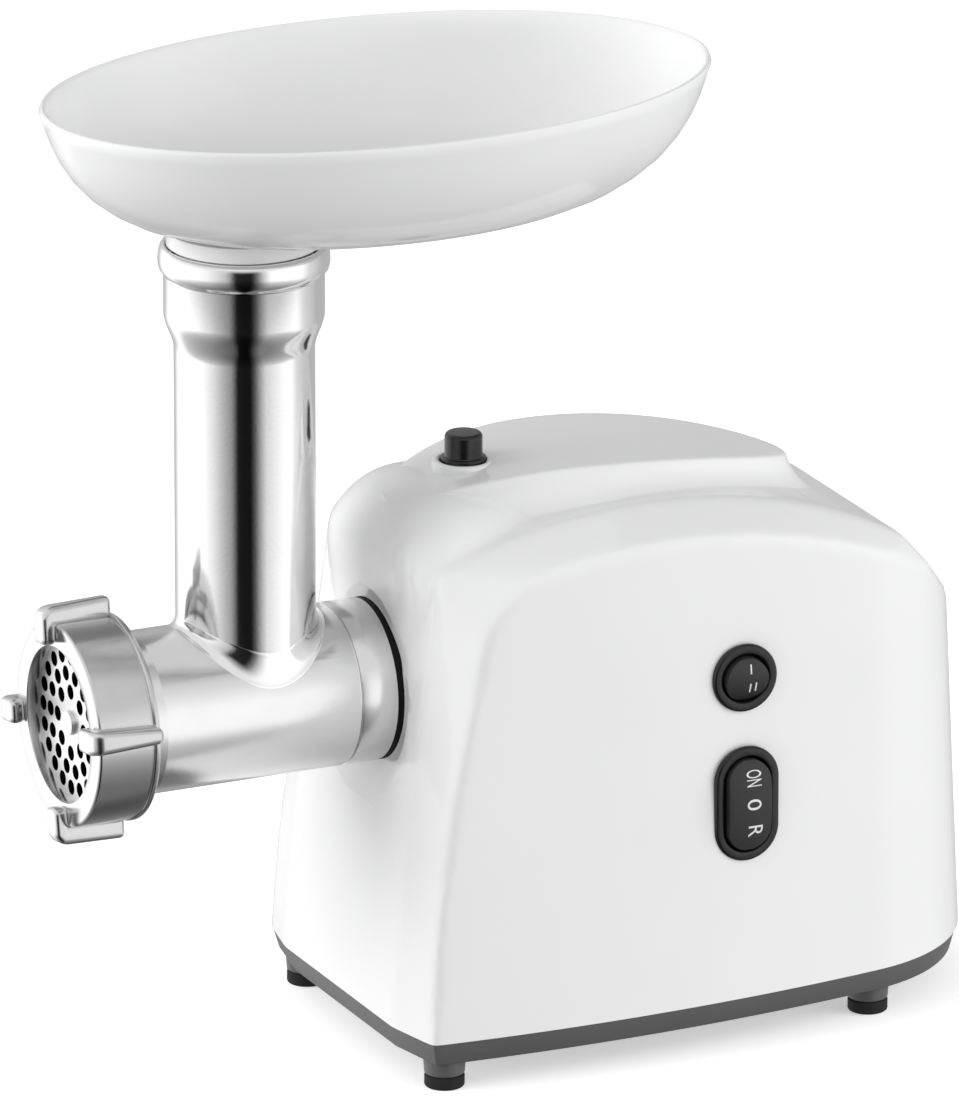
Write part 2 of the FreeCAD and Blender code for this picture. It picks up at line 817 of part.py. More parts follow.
def drill_pins(plate):
    for y, z in (first_axis, second_axis):
        plate = plate.cut(rod(gear_pin_radius, 0, 90, y, z))
    return plate


def gearbox_case():
    plate = case_outline(case_front, case_front + case_plate)
    leg = block(at(case_front), at(case_front + case_plate), -leg_half, leg_half,
                base_bottom + base_wall, case_low + case_corner)
    plate = plate.fuse(leg).cut(rod(bush_radius, 0, third_plane))
    return drill_pins(plate).removeSplitter()


def gearbox_cover():
    plate = case_outline(cover_from_mouth, cover_from_mouth + case_plate)
    leg = block(at(cover_from_mouth), at(cover_from_mouth + case_plate), -leg_half, leg_half,
                base_bottom + base_wall, case_low + case_corner)
    past = cover_from_mouth + case_plate + 1
    plate = plate.fuse(leg).cut(rod(shaft_tail + running_gap, cover_from_mouth - 1, past))
    plate = plate.cut(rod(bearing_radius, cover_from_mouth - 1, past, 0, motor_z))
    return drill_pins(plate).removeSplitter()


def gearbox_spacers():
    return Part.makeCompound([
        rod(spacer_radius, case_front + case_plate, cover_from_mouth, y, z) for y, z in spacer_places()
    ])


def output_bush():
    bush_end = case_front + case_plate + bush_proud
    return pipe(bush_radius, output_shaft_radius + running_gap, case_front, bush_end)


def motor_shaft():
    return rod(motor_shaft_radius, first_plane, bracket_from_mouth + bracket_thick, 0, motor_z)


def motor_pinion():
    turn = line_turn(motor_axis, first_axis)
    return gear(pinion_teeth, first_module, first_plane, first_face, motor_shaft_radius, 0, motor_z, turn)


def armature_core():
    core_end = stator_from_mouth + stator_length
    core = pipe(armature_radius, motor_shaft_radius, stator_from_mouth, core_end, 0, motor_z)
    slots = 12
    for i in range(slots):
        turn = 2 * math.pi * i / slots
        y = (armature_radius - 3) * math.cos(turn)
        z = motor_z + (armature_radius - 3) * math.sin(turn)
        core = core.cut(rod(2.0, stator_from_mouth - 1, stator_from_mouth + stator_length + 1, y, z))
    return core


def commutator():
    end = commutator_from_mouth + commutator_length
    return pipe(commutator_radius, motor_shaft_radius, commutator_from_mouth, end, 0, motor_z)


def cooling_fan():
    hub = pipe(8.0, motor_shaft_radius, fan_from_mouth, fan_from_mouth + fan_length, 0, motor_z)
    disc = pipe(fan_radius, motor_shaft_radius, fan_from_mouth, fan_from_mouth + 1.6, 0, motor_z)
    fan = hub.fuse(disc)
    for i in range(10):
        blade = block(at(fan_from_mouth), at(fan_from_mouth + fan_length), -0.8, 0.8,
                      motor_z + 7, motor_z + fan_radius - 1)
        blade.rotate(V(0, 0, motor_z), X_AXIS, 36 * i)
        fan = fan.fuse(blade)
    return fan.removeSplitter()


def stator_core():
    end = stator_from_mouth + stator_length
    core = pipe(stator_radius, armature_radius + armature_gap, stator_from_mouth, end, 0, motor_z)
    for side in (-1, 1):
        window = block(at(stator_from_mouth - 1), at(end + 1), -coil_thick - 8, coil_thick + 8,
                       motor_z + side * 24 - 4.5, motor_z + side * 24 + 4.5)
        core = core.cut(window)
    return core.removeSplitter()


def field_coil(side):
    end = stator_from_mouth + stator_length
    coil = block(at(stator_from_mouth - 5), at(end + 5), -coil_thick - 8, coil_thick + 8,
                 motor_z + side * 24 - 4.5, motor_z + side * 24 + 4.5)
    return coil.cut(rod(armature_radius + armature_gap + 0.6, 60, 160, 0, motor_z))


def bearing(start, thick):
    return pipe(bearing_radius, motor_shaft_radius + running_gap, start, start + thick, 0, motor_z)


def rear_motor_bracket():
    start = bracket_from_mouth
    plate = block(at(start), at(start + bracket_thick), -bracket_half, bracket_half,
                  base_bottom + base_wall, motor_z + bracket_above)
    upper_edges = [e for e in plate.Edges if e.BoundBox.XLength > 1 and e.CenterOfMass.z > motor_z]
    plate = plate.makeFillet(bracket_corner, upper_edges)
    return plate.cut(rod(bearing_radius, start - 1, start + 10, 0, motor_z))


def brush_holder(side):
    inner = commutator_radius + clear_gap
    near_y, far_y = sorted((side * inner, side * brush_reach))
    holder = block(at(commutator_from_mouth + 3), at(bracket_from_mouth), near_y, far_y,
                   motor_z - brush_half, motor_z + brush_half)
    return holder.cut(rod(inner, commutator_from_mouth - 1, bracket_from_mouth - 2, 0, motor_z))


# Switches

def switch_frame(y, z, straight):
    front = y - frame_proud
    outer = oval_bar(frame_radius, straight, front, y, z)
    edges = [e for e in outer.Edges if abs(e.BoundBox.YMax - front) < 0.01 and e.BoundBox.YLength < 0.01]
    outer = outer.makeFillet(1.2, edges)
    can = oval_bar(frame_radius - 1.3, straight, y, y + frame_depth, z)
    well = oval_bar(frame_radius - frame_rim, straight, front - 1, y + frame_depth - 2, z)
    return outer.fuse(can).cut(well).removeSplitter()


def rocker(y, z, straight, proud, tilt):
    """A rocker whose face is crowned, turned about its pivot to the position in the photo."""
    radius = frame_radius - frame_rim - rocker_gap
    front = y - frame_proud - proud
    back = y + frame_depth - 8
    body = oval_bar(radius, straight, front, back, z)
    half = straight + radius
    sweep = (half * half + rocker_crown * rocker_crown) / (2 * rocker_crown)
    crown = Part.makeCylinder(sweep, 4 * radius, V(switch_x - 2 * radius, front + sweep, z), X_AXIS)
    body = body.common(crown)
    reach = half - 0.2
    rounding = Part.makeCylinder(math.hypot(reach, 3.0), 4 * radius, V(switch_x - 2 * radius, y, z), X_AXIS)
    body = body.common(rounding)
    body.rotate(V(switch_x, y, z), X_AXIS, tilt)
    return body


def release_button():
    x = at(button_from_mouth)
    base = button_base_z + button_collar
    cap = post(button_radius, x, 0, base, base + button_height)
    cap = cap.makeFillet(1.4, [e for e in cap.Edges if abs(e.BoundBox.ZMin - base - button_height) < 0.01])
    skirt = post(button_flange_radius, x, 0, base - 9.0, base + 1.0)
    hollow = post(button_flange_radius - 1.6, x, 0, base - 10, base - 2)
    stem = post(button_stem_radius, x, 0, button_seat_z - 1.4, base)
    return cap.fuse(skirt.cut(hollow)).fuse(stem).removeSplitter()


def button_spring():
    x = at(button_from_mouth)
    low = button_seat_z + 1
    high = button_base_z - 1.2
    rise = high - low - 1
    mean_radius = spring_radius - spring_wire / 2
    helix = Part.makeHelix(rise / spring_turns, rise, mean_radius)
    ring = Part.Wire([Part.Circle(V(mean_radius, 0, 0), V(0, 1, 0), spring_wire / 2).toShape()])
    coil = Part.Wire(helix).makePipeShell([ring], True, True)
    coil.translate(V(x, 0, low + 0.4))
    return coil


def button_bracket():
    """The sheet bracket under the button that carries its spring, standing on the gearbox."""
    x = at(button_from_mouth)
    half = button_shelf_half
    shelf = block(at(case_front), x + half, -half, half, button_seat_z - 1, button_seat_z + 1)
    wall = block(at(case_front), at(case_front + 2), -half, half, case_high, button_seat_z)
    stem_hole = post(button_stem_radius + clear_gap, x, 0, case_high, button_base_z)
    return shelf.fuse(wall).cut(stem_hole).removeSplitter()


def all_nodes():
    nodes = {
        "upper_casing": upper_casing(), "base_tray": base_tray(), "base_screws": base_screws(),
        "cord_gland": cord_gland(), "mouth_ring": mouth_ring(), "grinder_barrel": grinder_barrel(),
        "feed_tube": feed_tube(), "food_tray": food_tray(), "cutting_plate": cutting_plate(),
        "ring_nut": ring_nut(), "auger": auger(), "cross_knife": cross_knife(),
        "auger_washer": auger_washer(), "output_shaft": output_shaft(), "output_gear": output_gear(),
        "first_gear": first_gear(), "second_gear": second_gear(), "gear_pins": gear_pins(),
        "gearbox_case": gearbox_case(), "gearbox_cover": gearbox_cover(),
        "gearbox_spacers": gearbox_spacers(), "output_bush": output_bush(), "motor_shaft": motor_shaft(),
        "motor_pinion": motor_pinion(), "armature_core": armature_core(), "commutator": commutator(),
        "cooling_fan": cooling_fan(), "stator_core": stator_core(),
        "field_coil_upper": field_coil(1), "field_coil_lower": field_coil(-1),
        "front_motor_bearing": bearing(cover_from_mouth, case_plate),
        "rear_motor_bearing": bearing(bracket_from_mouth, bracket_thick),
        "rear_motor_bracket": rear_motor_bracket(),
        "brush_holder_left": brush_holder(-1), "brush_holder_right": brush_holder(1),
        "speed_switch_frame": switch_frame(speed_y, speed_switch_z, 0.0),
        "speed_rocker": rocker(speed_y, speed_switch_z, 0.0, 1.6, speed_tilt),
        "power_switch_frame": switch_frame(power_y, power_switch_z, oval_half - frame_radius),
        "power_rocker": rocker(power_y, power_switch_z, oval_half - frame_radius, 2.6, 0.0),
        "release_button": release_button(), "button_spring": button_spring(),
        "button_bracket": button_bracket(),
    }
    for number, (x, y) in enumerate(foot_places(), 1):
        nodes["foot_%d" % number] = foot(x, y)
        nodes["foot_pad_%d" % number] = foot_pad(x, y)
    return nodes


os.makedirs("parts", exist_ok=True)
for node_name, node_shape in all_nodes().items():
    save(node_name, node_shape)
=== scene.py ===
"""Looks of the electric meat grinder: finishes, moulded and cast surfaces, studio and camera."""
import json
import math

import bpy
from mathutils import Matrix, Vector

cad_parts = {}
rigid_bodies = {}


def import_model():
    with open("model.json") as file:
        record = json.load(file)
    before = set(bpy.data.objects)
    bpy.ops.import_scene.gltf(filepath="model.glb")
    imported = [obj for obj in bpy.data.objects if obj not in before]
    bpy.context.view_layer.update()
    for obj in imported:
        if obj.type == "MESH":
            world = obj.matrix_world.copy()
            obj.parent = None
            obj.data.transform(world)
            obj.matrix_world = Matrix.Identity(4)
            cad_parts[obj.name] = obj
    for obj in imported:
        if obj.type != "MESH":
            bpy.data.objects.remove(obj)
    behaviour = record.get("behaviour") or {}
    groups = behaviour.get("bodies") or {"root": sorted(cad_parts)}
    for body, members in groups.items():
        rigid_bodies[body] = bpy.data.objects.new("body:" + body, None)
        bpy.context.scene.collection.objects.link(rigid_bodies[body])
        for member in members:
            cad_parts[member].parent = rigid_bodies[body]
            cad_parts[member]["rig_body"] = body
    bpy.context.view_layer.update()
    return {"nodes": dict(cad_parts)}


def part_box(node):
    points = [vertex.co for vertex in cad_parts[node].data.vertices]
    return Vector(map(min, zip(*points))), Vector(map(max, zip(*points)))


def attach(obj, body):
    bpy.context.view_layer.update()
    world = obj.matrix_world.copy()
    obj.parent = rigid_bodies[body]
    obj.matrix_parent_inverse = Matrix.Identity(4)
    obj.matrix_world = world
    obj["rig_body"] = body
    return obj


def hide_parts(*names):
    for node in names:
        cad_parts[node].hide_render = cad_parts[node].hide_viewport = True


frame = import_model()
nodes = frame["nodes"]
bpy.ops.object.select_all(action="DESELECT")


# Base tray: the grey floor of the machine, moulded in one piece with a sloping rim.
# It is screwed up into the casing's bosses, and its edge shows as a band under the white.
class Wire:
    """An output socket, so that shader sums read as plain arithmetic."""

    def __init__(self, finish, socket):
        self.finish = finish
        self.socket = socket

    def sum(self, operation, first, second):
        return self.finish.node("ShaderNodeMath", {"operation": operation}, {0: first, 1: second})

    def __add__(self, other):
        return self.sum("ADD", self, other)

    def __radd__(self, other):
        return self.sum("ADD", other, self)

    def __sub__(self, other):
        return self.sum("SUBTRACT", self, other)

    def __rsub__(self, other):
        return self.sum("SUBTRACT", other, self)

    def __mul__(self, other):
        return self.sum("MULTIPLY", self, other)

    def __rmul__(self, other):
        return self.sum("MULTIPLY", other, self)

    def __truediv__(self, other):
        return self.sum("DIVIDE", self, other)

    def __rtruediv__(self, other):
        return self.sum("DIVIDE", other, self)


class Finish:
    """A material: its fixed sockets are set once, and node() adds anything that varies."""

    def __init__(self, name, fixed):
        self.material = bpy.data.materials.new(name)
        self.material.use_nodes = True
        self.tree = self.material.node_tree
        self.shader = self.tree.nodes["Principled BSDF"]
        self.surface(fixed)

    def node(self, kind, settings, sockets, out=0):
        made = self.tree.nodes.new(kind)
        for name, value in settings.items():
            if name == "stops":
                ramp = made.color_ramp
                while len(ramp.elements) < len(value):
                    ramp.elements.new(0.5)
                for element, (position, colour) in zip(ramp.elements, value):
                    element.position = position
                    element.color = colour
            else:
                setattr(made, name, value)
        for name, value in sockets.items():
            self.feed(made.inputs[name], value)
        return Wire(self, made.outputs[out])

    def feed(self, socket, value):
        if isinstance(value, Wire):
            self.tree.links.new(value.socket, socket)
        else:
            socket.default_value = value

    def surface(self, sockets):
        for name, value in sockets.items():
            self.feed(self.shader.inputs[name], value)

    def place(self, stretch=(1, 1, 1)):
        """Object coordinates, stretched along their axes."""
        spot = self.node("ShaderNodeTexCoord", {}, {}, out=3)
        return self.node("ShaderNodeMapping", {"vector_type": "TEXTURE"},
                         {"Vector": spot, "Scale": stretch})

    def noise(self, size, detail=2.0, rough=0.5, stretch=(1, 1, 1)):
        """Soft noise whose patches are about size metres across, from 0 to 1."""
        return self.node("ShaderNodeTexNoise", {}, {
            "Vector": self.place(stretch), "Scale": 1 / size, "Detail": detail, "Roughness": rough})

    def dot(self, vector, direction):
        return self.node("ShaderNodeVectorMath", {"operation": "DOT_PRODUCT"},
                         {0: vector, 1: direction}, out=1)

    def facing(self, direction):
        """How far the surface faces a direction: 1 towards it and 0 square to it."""
        return self.dot(self.node("ShaderNodeTexCoord", {}, {}, out=1), direction)

    def mix(self, share, first, second):
        return self.node("ShaderNodeMix", {"data_type": "RGBA"}, {0: share, 6: first, 7: second}, out=2)

    def bump(self, height, depth, strength=1.0):
        return self.node("ShaderNodeBump", {}, {"Height": height, "Distance": depth, "Strength": strength})

    def dress(self, *pieces):
        for piece in pieces:
            piece.data.materials.clear()
            piece.data.materials.append(self.material)


def only(piece):
    bpy.ops.object.select_all(action="DESELECT")
    piece.select_set(True)
    bpy.context.view_layer.objects.active = piece


def rounded(piece, edge, steps, sharp):
    rounding = piece.modifiers.new("rounding", "BEVEL")
    rounding.width = edge
    rounding.segments = steps
    rounding.limit_method = "ANGLE"
    rounding.angle_limit = math.radians(sharp)
    bpy.ops.object.modifier_apply(modifier="rounding")


def softened(name, node, edge, steps=3, sharp=32.0):
    """A merged copy of a node with its hard edges rounded over, standing for that node."""
    piece = bpy.data.objects.new(name, nodes[node].data.copy())
    bpy.context.scene.collection.objects.link(piece)
    only(piece)
    bpy.ops.mesh.customdata_custom_splitnormals_clear()
    bpy.ops.object.mode_set(mode="EDIT")
    bpy.ops.mesh.select_all(action="SELECT")
    bpy.ops.mesh.remove_doubles(threshold=0.000004)
    bpy.ops.mesh.dissolve_limited(angle_limit=math.radians(0.5))
    bpy.ops.object.mode_set(mode="OBJECT")
    rounded(piece, edge, steps, sharp)
    bpy.ops.object.shade_smooth_by_angle(angle=math.radians(sharp))
    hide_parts(node)
    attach(piece, nodes[node]["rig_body"])
    return piece


grey = Finish("grey_satin_plastic", {"IOR": 1.5})
grain = grey.noise(0.0006, detail=3.0)
patches = grey.noise(0.04)
grey.surface({
    "Base Color": grey.mix(patches, (0.090, 0.091, 0.093, 1), (0.105, 0.106, 0.108, 1)),
    "Roughness": 0.38 + grain * 0.14,
    "Normal": grey.bump(grain, 0.00012, 0.35),
})
grey.dress(softened("base_moulding", "base_tray", 0.0008))


# Feet: four grey posts moulded for the base, each with a black rubber pad pressed into
# its end. The pads have the dull, slightly dusty look of moulded rubber.
rubber = Finish("foot_rubber", {"Specular IOR Level": 0.3})
dust = rubber.noise(0.004, detail=4.0)
rubber.surface({
    "Base Color": rubber.mix(dust, (0.010, 0.010, 0.010, 1), (0.022, 0.022, 0.022, 1)),
    "Roughness": 0.62 + dust * 0.2,
    "Normal": rubber.bump(rubber.noise(0.0004), 0.0001, 0.4),
})
for number in (1, 2, 3, 4):
    grey.dress(softened("foot_post_%d" % number, "foot_%d" % number, 0.0006))
    rubber.dress(softened("foot_cap_%d" % number, "foot_pad_%d" % number, 0.0009))


# Screws and cord bush: zinc screws hold the base, and a black bush in the rear wall is
# where a mains lead would go through.
zinc = Finish("zinc_screws", {"Metallic": 1.0})
streaks = zinc.noise(0.0012, detail=3.0)
zinc.surface({
    "Base Color": zinc.mix(streaks, (0.50, 0.50, 0.49, 1), (0.62, 0.62, 0.60, 1)),
    "Roughness": 0.30 + streaks * 0.18,
})
zinc.dress(nodes["base_screws"])
black = Finish("black_gloss_plastic", {"IOR": 1.5})
haze = black.noise(0.006, detail=3.0)
black.surface({
    "Base Color": black.mix(haze, (0.006, 0.006, 0.0065, 1), (0.012, 0.012, 0.0125, 1)),
    "Roughness": 0.16 + haze * 0.12,
    "Normal": black.bump(black.noise(0.0005), 0.00005, 0.25),
})
black.dress(softened("cord_bush", "cord_gland", 0.0007))


# Motor and gear train: steel laminations, copper coils and nylon wheels inside the casing.
# They are hidden in use, and each has the finish of the stock that it is made from.
ground = Finish("ground_steel", {"Metallic": 1.0})
turned = ground.noise(0.0010, detail=3.0, stretch=(0.15, 1, 1))
ground.surface({
    "Base Color": ground.mix(turned, (0.52, 0.52, 0.53, 1), (0.66, 0.66, 0.67, 1)),
    "Roughness": 0.24 + turned * 0.16,
})
ground.dress(nodes["output_shaft"], nodes["gear_pins"], nodes["gearbox_spacers"], nodes["motor_shaft"],
             nodes["motor_pinion"], nodes["front_motor_bearing"], nodes["rear_motor_bearing"],
             nodes["button_spring"], nodes["button_bracket"])
nylon = Finish("nylon_gears", {"IOR": 1.53})
milky = nylon.noise(0.008, detail=3.0)
nylon.surface({
    "Base Color": nylon.mix(milky, (0.74, 0.71, 0.62, 1), (0.82, 0.80, 0.72, 1)),
    "Roughness": 0.40 + milky * 0.12,
})
nylon.dress(nodes["output_gear"], nodes["first_gear"], nodes["second_gear"], nodes["auger_washer"])
cast = Finish("cast_gearbox", {"Metallic": 1.0})
skin = cast.noise(0.0016, detail=4.0)
cast.surface({
    "Base Color": cast.mix(skin, (0.42, 0.42, 0.43, 1), (0.56, 0.56, 0.57, 1)),
    "Roughness": 0.46 + skin * 0.2,
    "Normal": cast.bump(skin, 0.0002, 0.5),
})
cast.dress(nodes["gearbox_case"], nodes["gearbox_cover"], nodes["rear_motor_bracket"])
stack = Finish("steel_laminations", {"Metallic": 1.0})
sheets = stack.node("ShaderNodeTexWave", {"bands_direction": "X"},
                    {"Vector": stack.place(), "Scale": 320.0, "Distortion": 0.0})
stack.surface({
    "Base Color": stack.mix(sheets, (0.10, 0.10, 0.11, 1), (0.26, 0.26, 0.27, 1)),
    "Roughness": 0.42 + sheets * 0.15,
})
stack.dress(nodes["stator_core"], nodes["armature_core"])
copper = Finish("wound_copper", {"Metallic": 1.0})
strands = copper.node("ShaderNodeTexWave", {"bands_direction": "Z"},
                      {"Vector": copper.place(), "Scale": 240.0, "Distortion": 0.6})
copper.surface({
    "Base Color": copper.mix(strands, (0.42, 0.16, 0.07, 1), (0.72, 0.36, 0.18, 1)),
    "Roughness": 0.30 + strands * 0.2,
    "Normal": copper.bump(strands, 0.0004, 0.6),
})
copper.dress(nodes["field_coil_upper"], nodes["field_coil_lower"], nodes["commutator"])
bronze = Finish("sintered_bronze", {"Metallic": 1.0})
pores = bronze.noise(0.0008, detail=2.0)
bronze.surface({
    "Base Color": bronze.mix(pores, (0.40, 0.26, 0.11, 1), (0.58, 0.42, 0.20, 1)),
    "Roughness": 0.36 + pores * 0.2,
})
bronze.dress(nodes["output_bush"])
inner = Finish("inner_plastic", {"IOR": 1.5})
speck = inner.noise(0.002, detail=3.0)
inner.surface({
    "Base Color": inner.mix(speck, (0.020, 0.020, 0.022, 1), (0.036, 0.036, 0.038, 1)),
    "Roughness": 0.45 + speck * 0.15,
})
inner.dress(nodes["cooling_fan"], nodes["brush_holder_left"], nodes["brush_holder_right"])


# Upper casing: gloss white moulding with bowed, drafted sides, rounded shoulders and a
# raised spine that runs forward into a hood over the mouth. Its sizes are in millimetres,
# with lengths measured back from the mouth face and heights from the table.
mouth = -45.5
axis_height = 123.0
rim_height = 18.0
draft = math.tan(math.radians(2.5))
nose = -40.0
back_middle = 146.0
back_radius = 61.0
side_bow = 67.5
panel_half = 60.0
shoulder_half = 42.0


def bowed(a, b, c, steps):
    """Points along the arc through three points, up to but not at the last."""
    (ax, ay), (bx, by), (cx, cy) = a, b, c
    across = 2 * (ax * (by - cy) + bx * (cy - ay) + cx * (ay - by))
    sa, sb, sc = ax * ax + ay * ay, bx * bx + by * by, cx * cx + cy * cy
    mx = (sa * (by - cy) + sb * (cy - ay) + sc * (ay - by)) / across
    my = (sa * (cx - bx) + sb * (ax - cx) + sc * (bx - ax)) / across
    start = math.atan2(ay - my, ax - mx)
    through = (math.atan2(by - my, bx - mx) - start) % (2 * math.pi)
    turn = (math.atan2(cy - my, cx - mx) - start) % (2 * math.pi)
    if through > turn:
        turn -= 2 * math.pi
    radius = math.hypot(ax - mx, ay - my)
    angles = [start + turn * i / steps for i in range(steps)]
    return [(mx + radius * math.cos(t), my + radius * math.sin(t)) for t in angles]


def lofted(name, rings, fill="NGON"):
    """One outline extruded and moved from ring to ring: a solid, or a skin with no fill."""
    bpy.ops.object.select_all(action="DESELECT")
    bpy.ops.mesh.primitive_circle_add(vertices=len(rings[0]), radius=1, fill_type=fill)
    piece = bpy.context.object
    piece.name = name
    for vertex, point in zip(piece.data.vertices, rings[0]):
        vertex.co = Vector(point)
    for before, after in zip(rings, rings[1:]):
        spots = {Vector(point).freeze(): Vector(moved) for point, moved in zip(before, after)}
        bpy.ops.object.mode_set(mode="EDIT")
        bpy.ops.mesh.extrude_region_move()
        bpy.ops.object.mode_set(mode="OBJECT")
        for vertex in piece.data.vertices:
            if vertex.select:
                vertex.co = spots[vertex.co.copy().freeze()]
    bpy.ops.object.mode_set(mode="EDIT")
    bpy.ops.mesh.select_all(action="SELECT")
    bpy.ops.mesh.remove_doubles(threshold=0.001)
    bpy.ops.mesh.normals_make_consistent(inside=False)
    bpy.ops.object.mode_set(mode="OBJECT")
    piece.scale = (0.001, 0.001, 0.001)
    bpy.ops.object.transform_apply(location=False, rotation=False, scale=True)
    return piece


def combined(piece, tool, operation):
    only(piece)
    cut = piece.modifiers.new("cut", "BOOLEAN")
    cut.operation = operation
    cut.object = tool
    cut.solver = "EXACT"
    bpy.ops.object.modifier_apply(modifier="cut")
    bpy.data.objects.remove(tool)


def plan_ring(z):
    """The casing's footprint at a height: bowed sides and a round back, with draft."""
    inset = (z - rim_height) * draft
    radius = back_radius - inset
    turn = math.radians(9.0)
    side = (back_middle + radius * math.sin(turn), radius * math.cos(turn))
    middle = ((side[0] + nose) / 2, side_bow - inset)
    front = (nose, panel_half - inset)
    near = bowed((front[0], -front[1]), (middle[0], -middle[1]), (side[0], -side[1]), 16)
    rear = bowed((side[0], -side[1]), (back_middle + radius, 0.0), side, 30)
    far = bowed(side, middle, front, 16)
    return [(mouth + x, y, z) for x, y in near + rear + far + [front]]


def shoulder_ring(share, y):
    """The side outline: at the shoulder (share 0), at the side panel (1) or further out."""
    shoulder = ((-13.3, 5.0), (-5.0, 92.0), (3.6, 163.0), (5.5, 169.0), (10.0, 172.0),
                (78.0, 184.6), (171.5, 160.5), (226.0, 98.0), (226.0, -5.0))
    panel = ((-8.8, 5.0), (1.0, 92.0), (10.5, 137.0), (19.5, 160.5), (40.0, 172.5),
             (85.0, 176.5), (160.0, 154.5), (226.0, 114.0), (226.0, -5.0))
    p = [(a + (c - a) * share, b + (d - b) * share) for (a, b), (c, d) in zip(shoulder, panel)]
    low = (p[0][0], -5.0)
    points = bowed(p[0], p[1], p[2], 16) + bowed(p[2], p[3], p[4], 8) + bowed(p[4], p[5], p[6], 24)
    return [(mouth + x, y, z) for x, z in points + [p[6], p[7], p[8], low]]


def arch(x):
    """The height of the spine's top, which falls faster ahead of its crown than behind it."""
    crown, crown_x = 194.5, 60.0
    radius = 290.0 if x > crown_x else 150.0
    return crown - radius + math.sqrt(radius**2 - (x - crown_x) ** 2)


def shoulder_top(x):
    """The height of the shoulders' ridge, which rises and falls along the casing."""
    ahead = max(0.0, x - 10.0)
    return 172.0 + 0.35345 * ahead - 0.0026 * ahead**2


spine_middle = 76.25
spine_half_long = 71.75
spine_half_wide = 28.5
spine_sunk = 0.7


def spine_ring(out, drop, fall=0.0, level=None):
    """An oval about the spine: out beyond its edge, drop under its arch, or at a level.

    fall is the share of the way from there down to just under the shoulders.
    """
    points = []
    for i in range(144):
        turn = 2 * math.pi * i / 144
        share = 1.0 if math.cos(turn) > 0 else 0.3
        x = spine_middle + (spine_half_long + out * share) * math.cos(turn)
        high = arch(x) - drop
        z = level or high - fall * (high + spine_sunk - shoulder_top(x))
        points.append((mouth + x, (spine_half_wide + out) * math.sin(turn), z))
    return points


def hood_ring(z, front, half, widest, blunt):
    """A blunt-nosed outline at a height: its front, half its width and where it is widest."""
    points = []
    for i in range(128):
        turn = 2 * math.pi * (i + 0.5) / 128
        along, side = (math.copysign(abs(part) ** (2 / blunt), part)
                       for part in (math.cos(turn), math.sin(turn)))
        points.append((mouth + widest - (widest - front) * along, -half * side, z))
    return points


casing = lofted("casing_shell", [plan_ring(5.0), plan_ring(215.0)])
beyond = 72.5
reach = (beyond - shoulder_half) / (panel_half - shoulder_half)
sides = lofted("sides", [shoulder_ring(reach, -beyond), shoulder_ring(0, -shoulder_half),
                         shoulder_ring(0, shoulder_half), shoulder_ring(reach, beyond)])
combined(casing, sides, "INTERSECT")
hood = ((108.0, 2.0, 34.0, 42.0, 5.0), (116.0, 0.8, 40.0, 42.0, 5.5), (123.0, 0.2, 42.6, 42.0, 6.0),
        (140.0, -0.2, 43.2, 40.0, 6.0), (150.0, -0.7, 43.2, 38.0, 6.0), (156.0, -1.7, 43.0, 37.0, 6.0),
        (162.0, -2.6, 42.4, 35.0, 5.5), (168.0, -2.6, 41.4, 33.0, 5.0), (173.0, -1.4, 39.8, 31.0, 4.2),
        (178.0, 0.8, 37.0, 28.0, 3.5), (182.0, 3.4, 33.0, 26.0, 3.0), (185.0, 6.4, 28.5, 25.0, 2.8),
        (187.0, 9.6, 23.0, 25.0, 2.5), (188.5, 13.0, 17.5, 26.0, 2.5), (189.2, 16.0, 11.0, 27.0, 2.0))
combined(casing, lofted("hood", [hood_ring(*step) for step in hood]), "UNION")


def turned_ring(x, radius):
    """A circle about the head's axis."""
    turns = [2 * math.pi * i / 160 for i in range(160)]
    return [(mouth + x, radius * math.cos(t), axis_height + radius * math.sin(t)) for t in turns]


def drill(radius, depth, place, turn, stretch=0.0):
    """A round or long cutter, its length along its own Z and its stretch along its own Y."""
    bpy.ops.object.select_all(action="DESELECT")
    bpy.ops.mesh.primitive_cylinder_add(vertices=96, radius=radius, depth=depth)
    tool = bpy.context.object
    for vertex in tool.data.vertices:
        vertex.co.y += math.copysign(stretch, vertex.co.y)
    tool.rotation_euler = turn
    tool.location = place
    bpy.ops.object.transform_apply(location=True, rotation=True, scale=True)
    return tool


quarter = math.pi / 2
only(casing)
blend = casing.modifiers.new("skin", "REMESH")
blend.mode = "VOXEL"
blend.voxel_size = 0.0016
bpy.ops.object.modifier_apply(modifier="skin")
soft_start, soft_span = 36.0, 8.0
soft = casing.vertex_groups.new(name="soft")
for vertex in casing.data.vertices:
    share = (abs(vertex.co.y) * 1000 - soft_start) / soft_span
    soft.add([vertex.index], min(1.0, max(0.0, share)), "REPLACE")
for name, group, rounds in (("blend", "", 6), ("soften", "soft", 6)):
    blend = casing.modifiers.new(name, "SMOOTH")
    blend.factor = 0.5
    blend.iterations = rounds
    blend.vertex_group = group
    bpy.ops.object.modifier_apply(modifier=name)
fewer = casing.modifiers.new("fewer", "DECIMATE")
fewer.ratio = 0.45
bpy.ops.object.modifier_apply(modifier="fewer")
core = -28.4996
edge_out, edge_drop = 0.15, 0.75
flank_out, flank_bend, flank_fall = 11.0, 2.7, 0.84
closed_level = 112.0
crest = [(core, 0.0), (-22.0, 0.0), (-16.0, 0.0), (-11.0, 0.0), (-7.0, 0.0), (-3.5, 0.0), (-1.5, 0.02),
         (-0.8, 0.12), (-0.25, 0.36), (edge_out, edge_drop)]
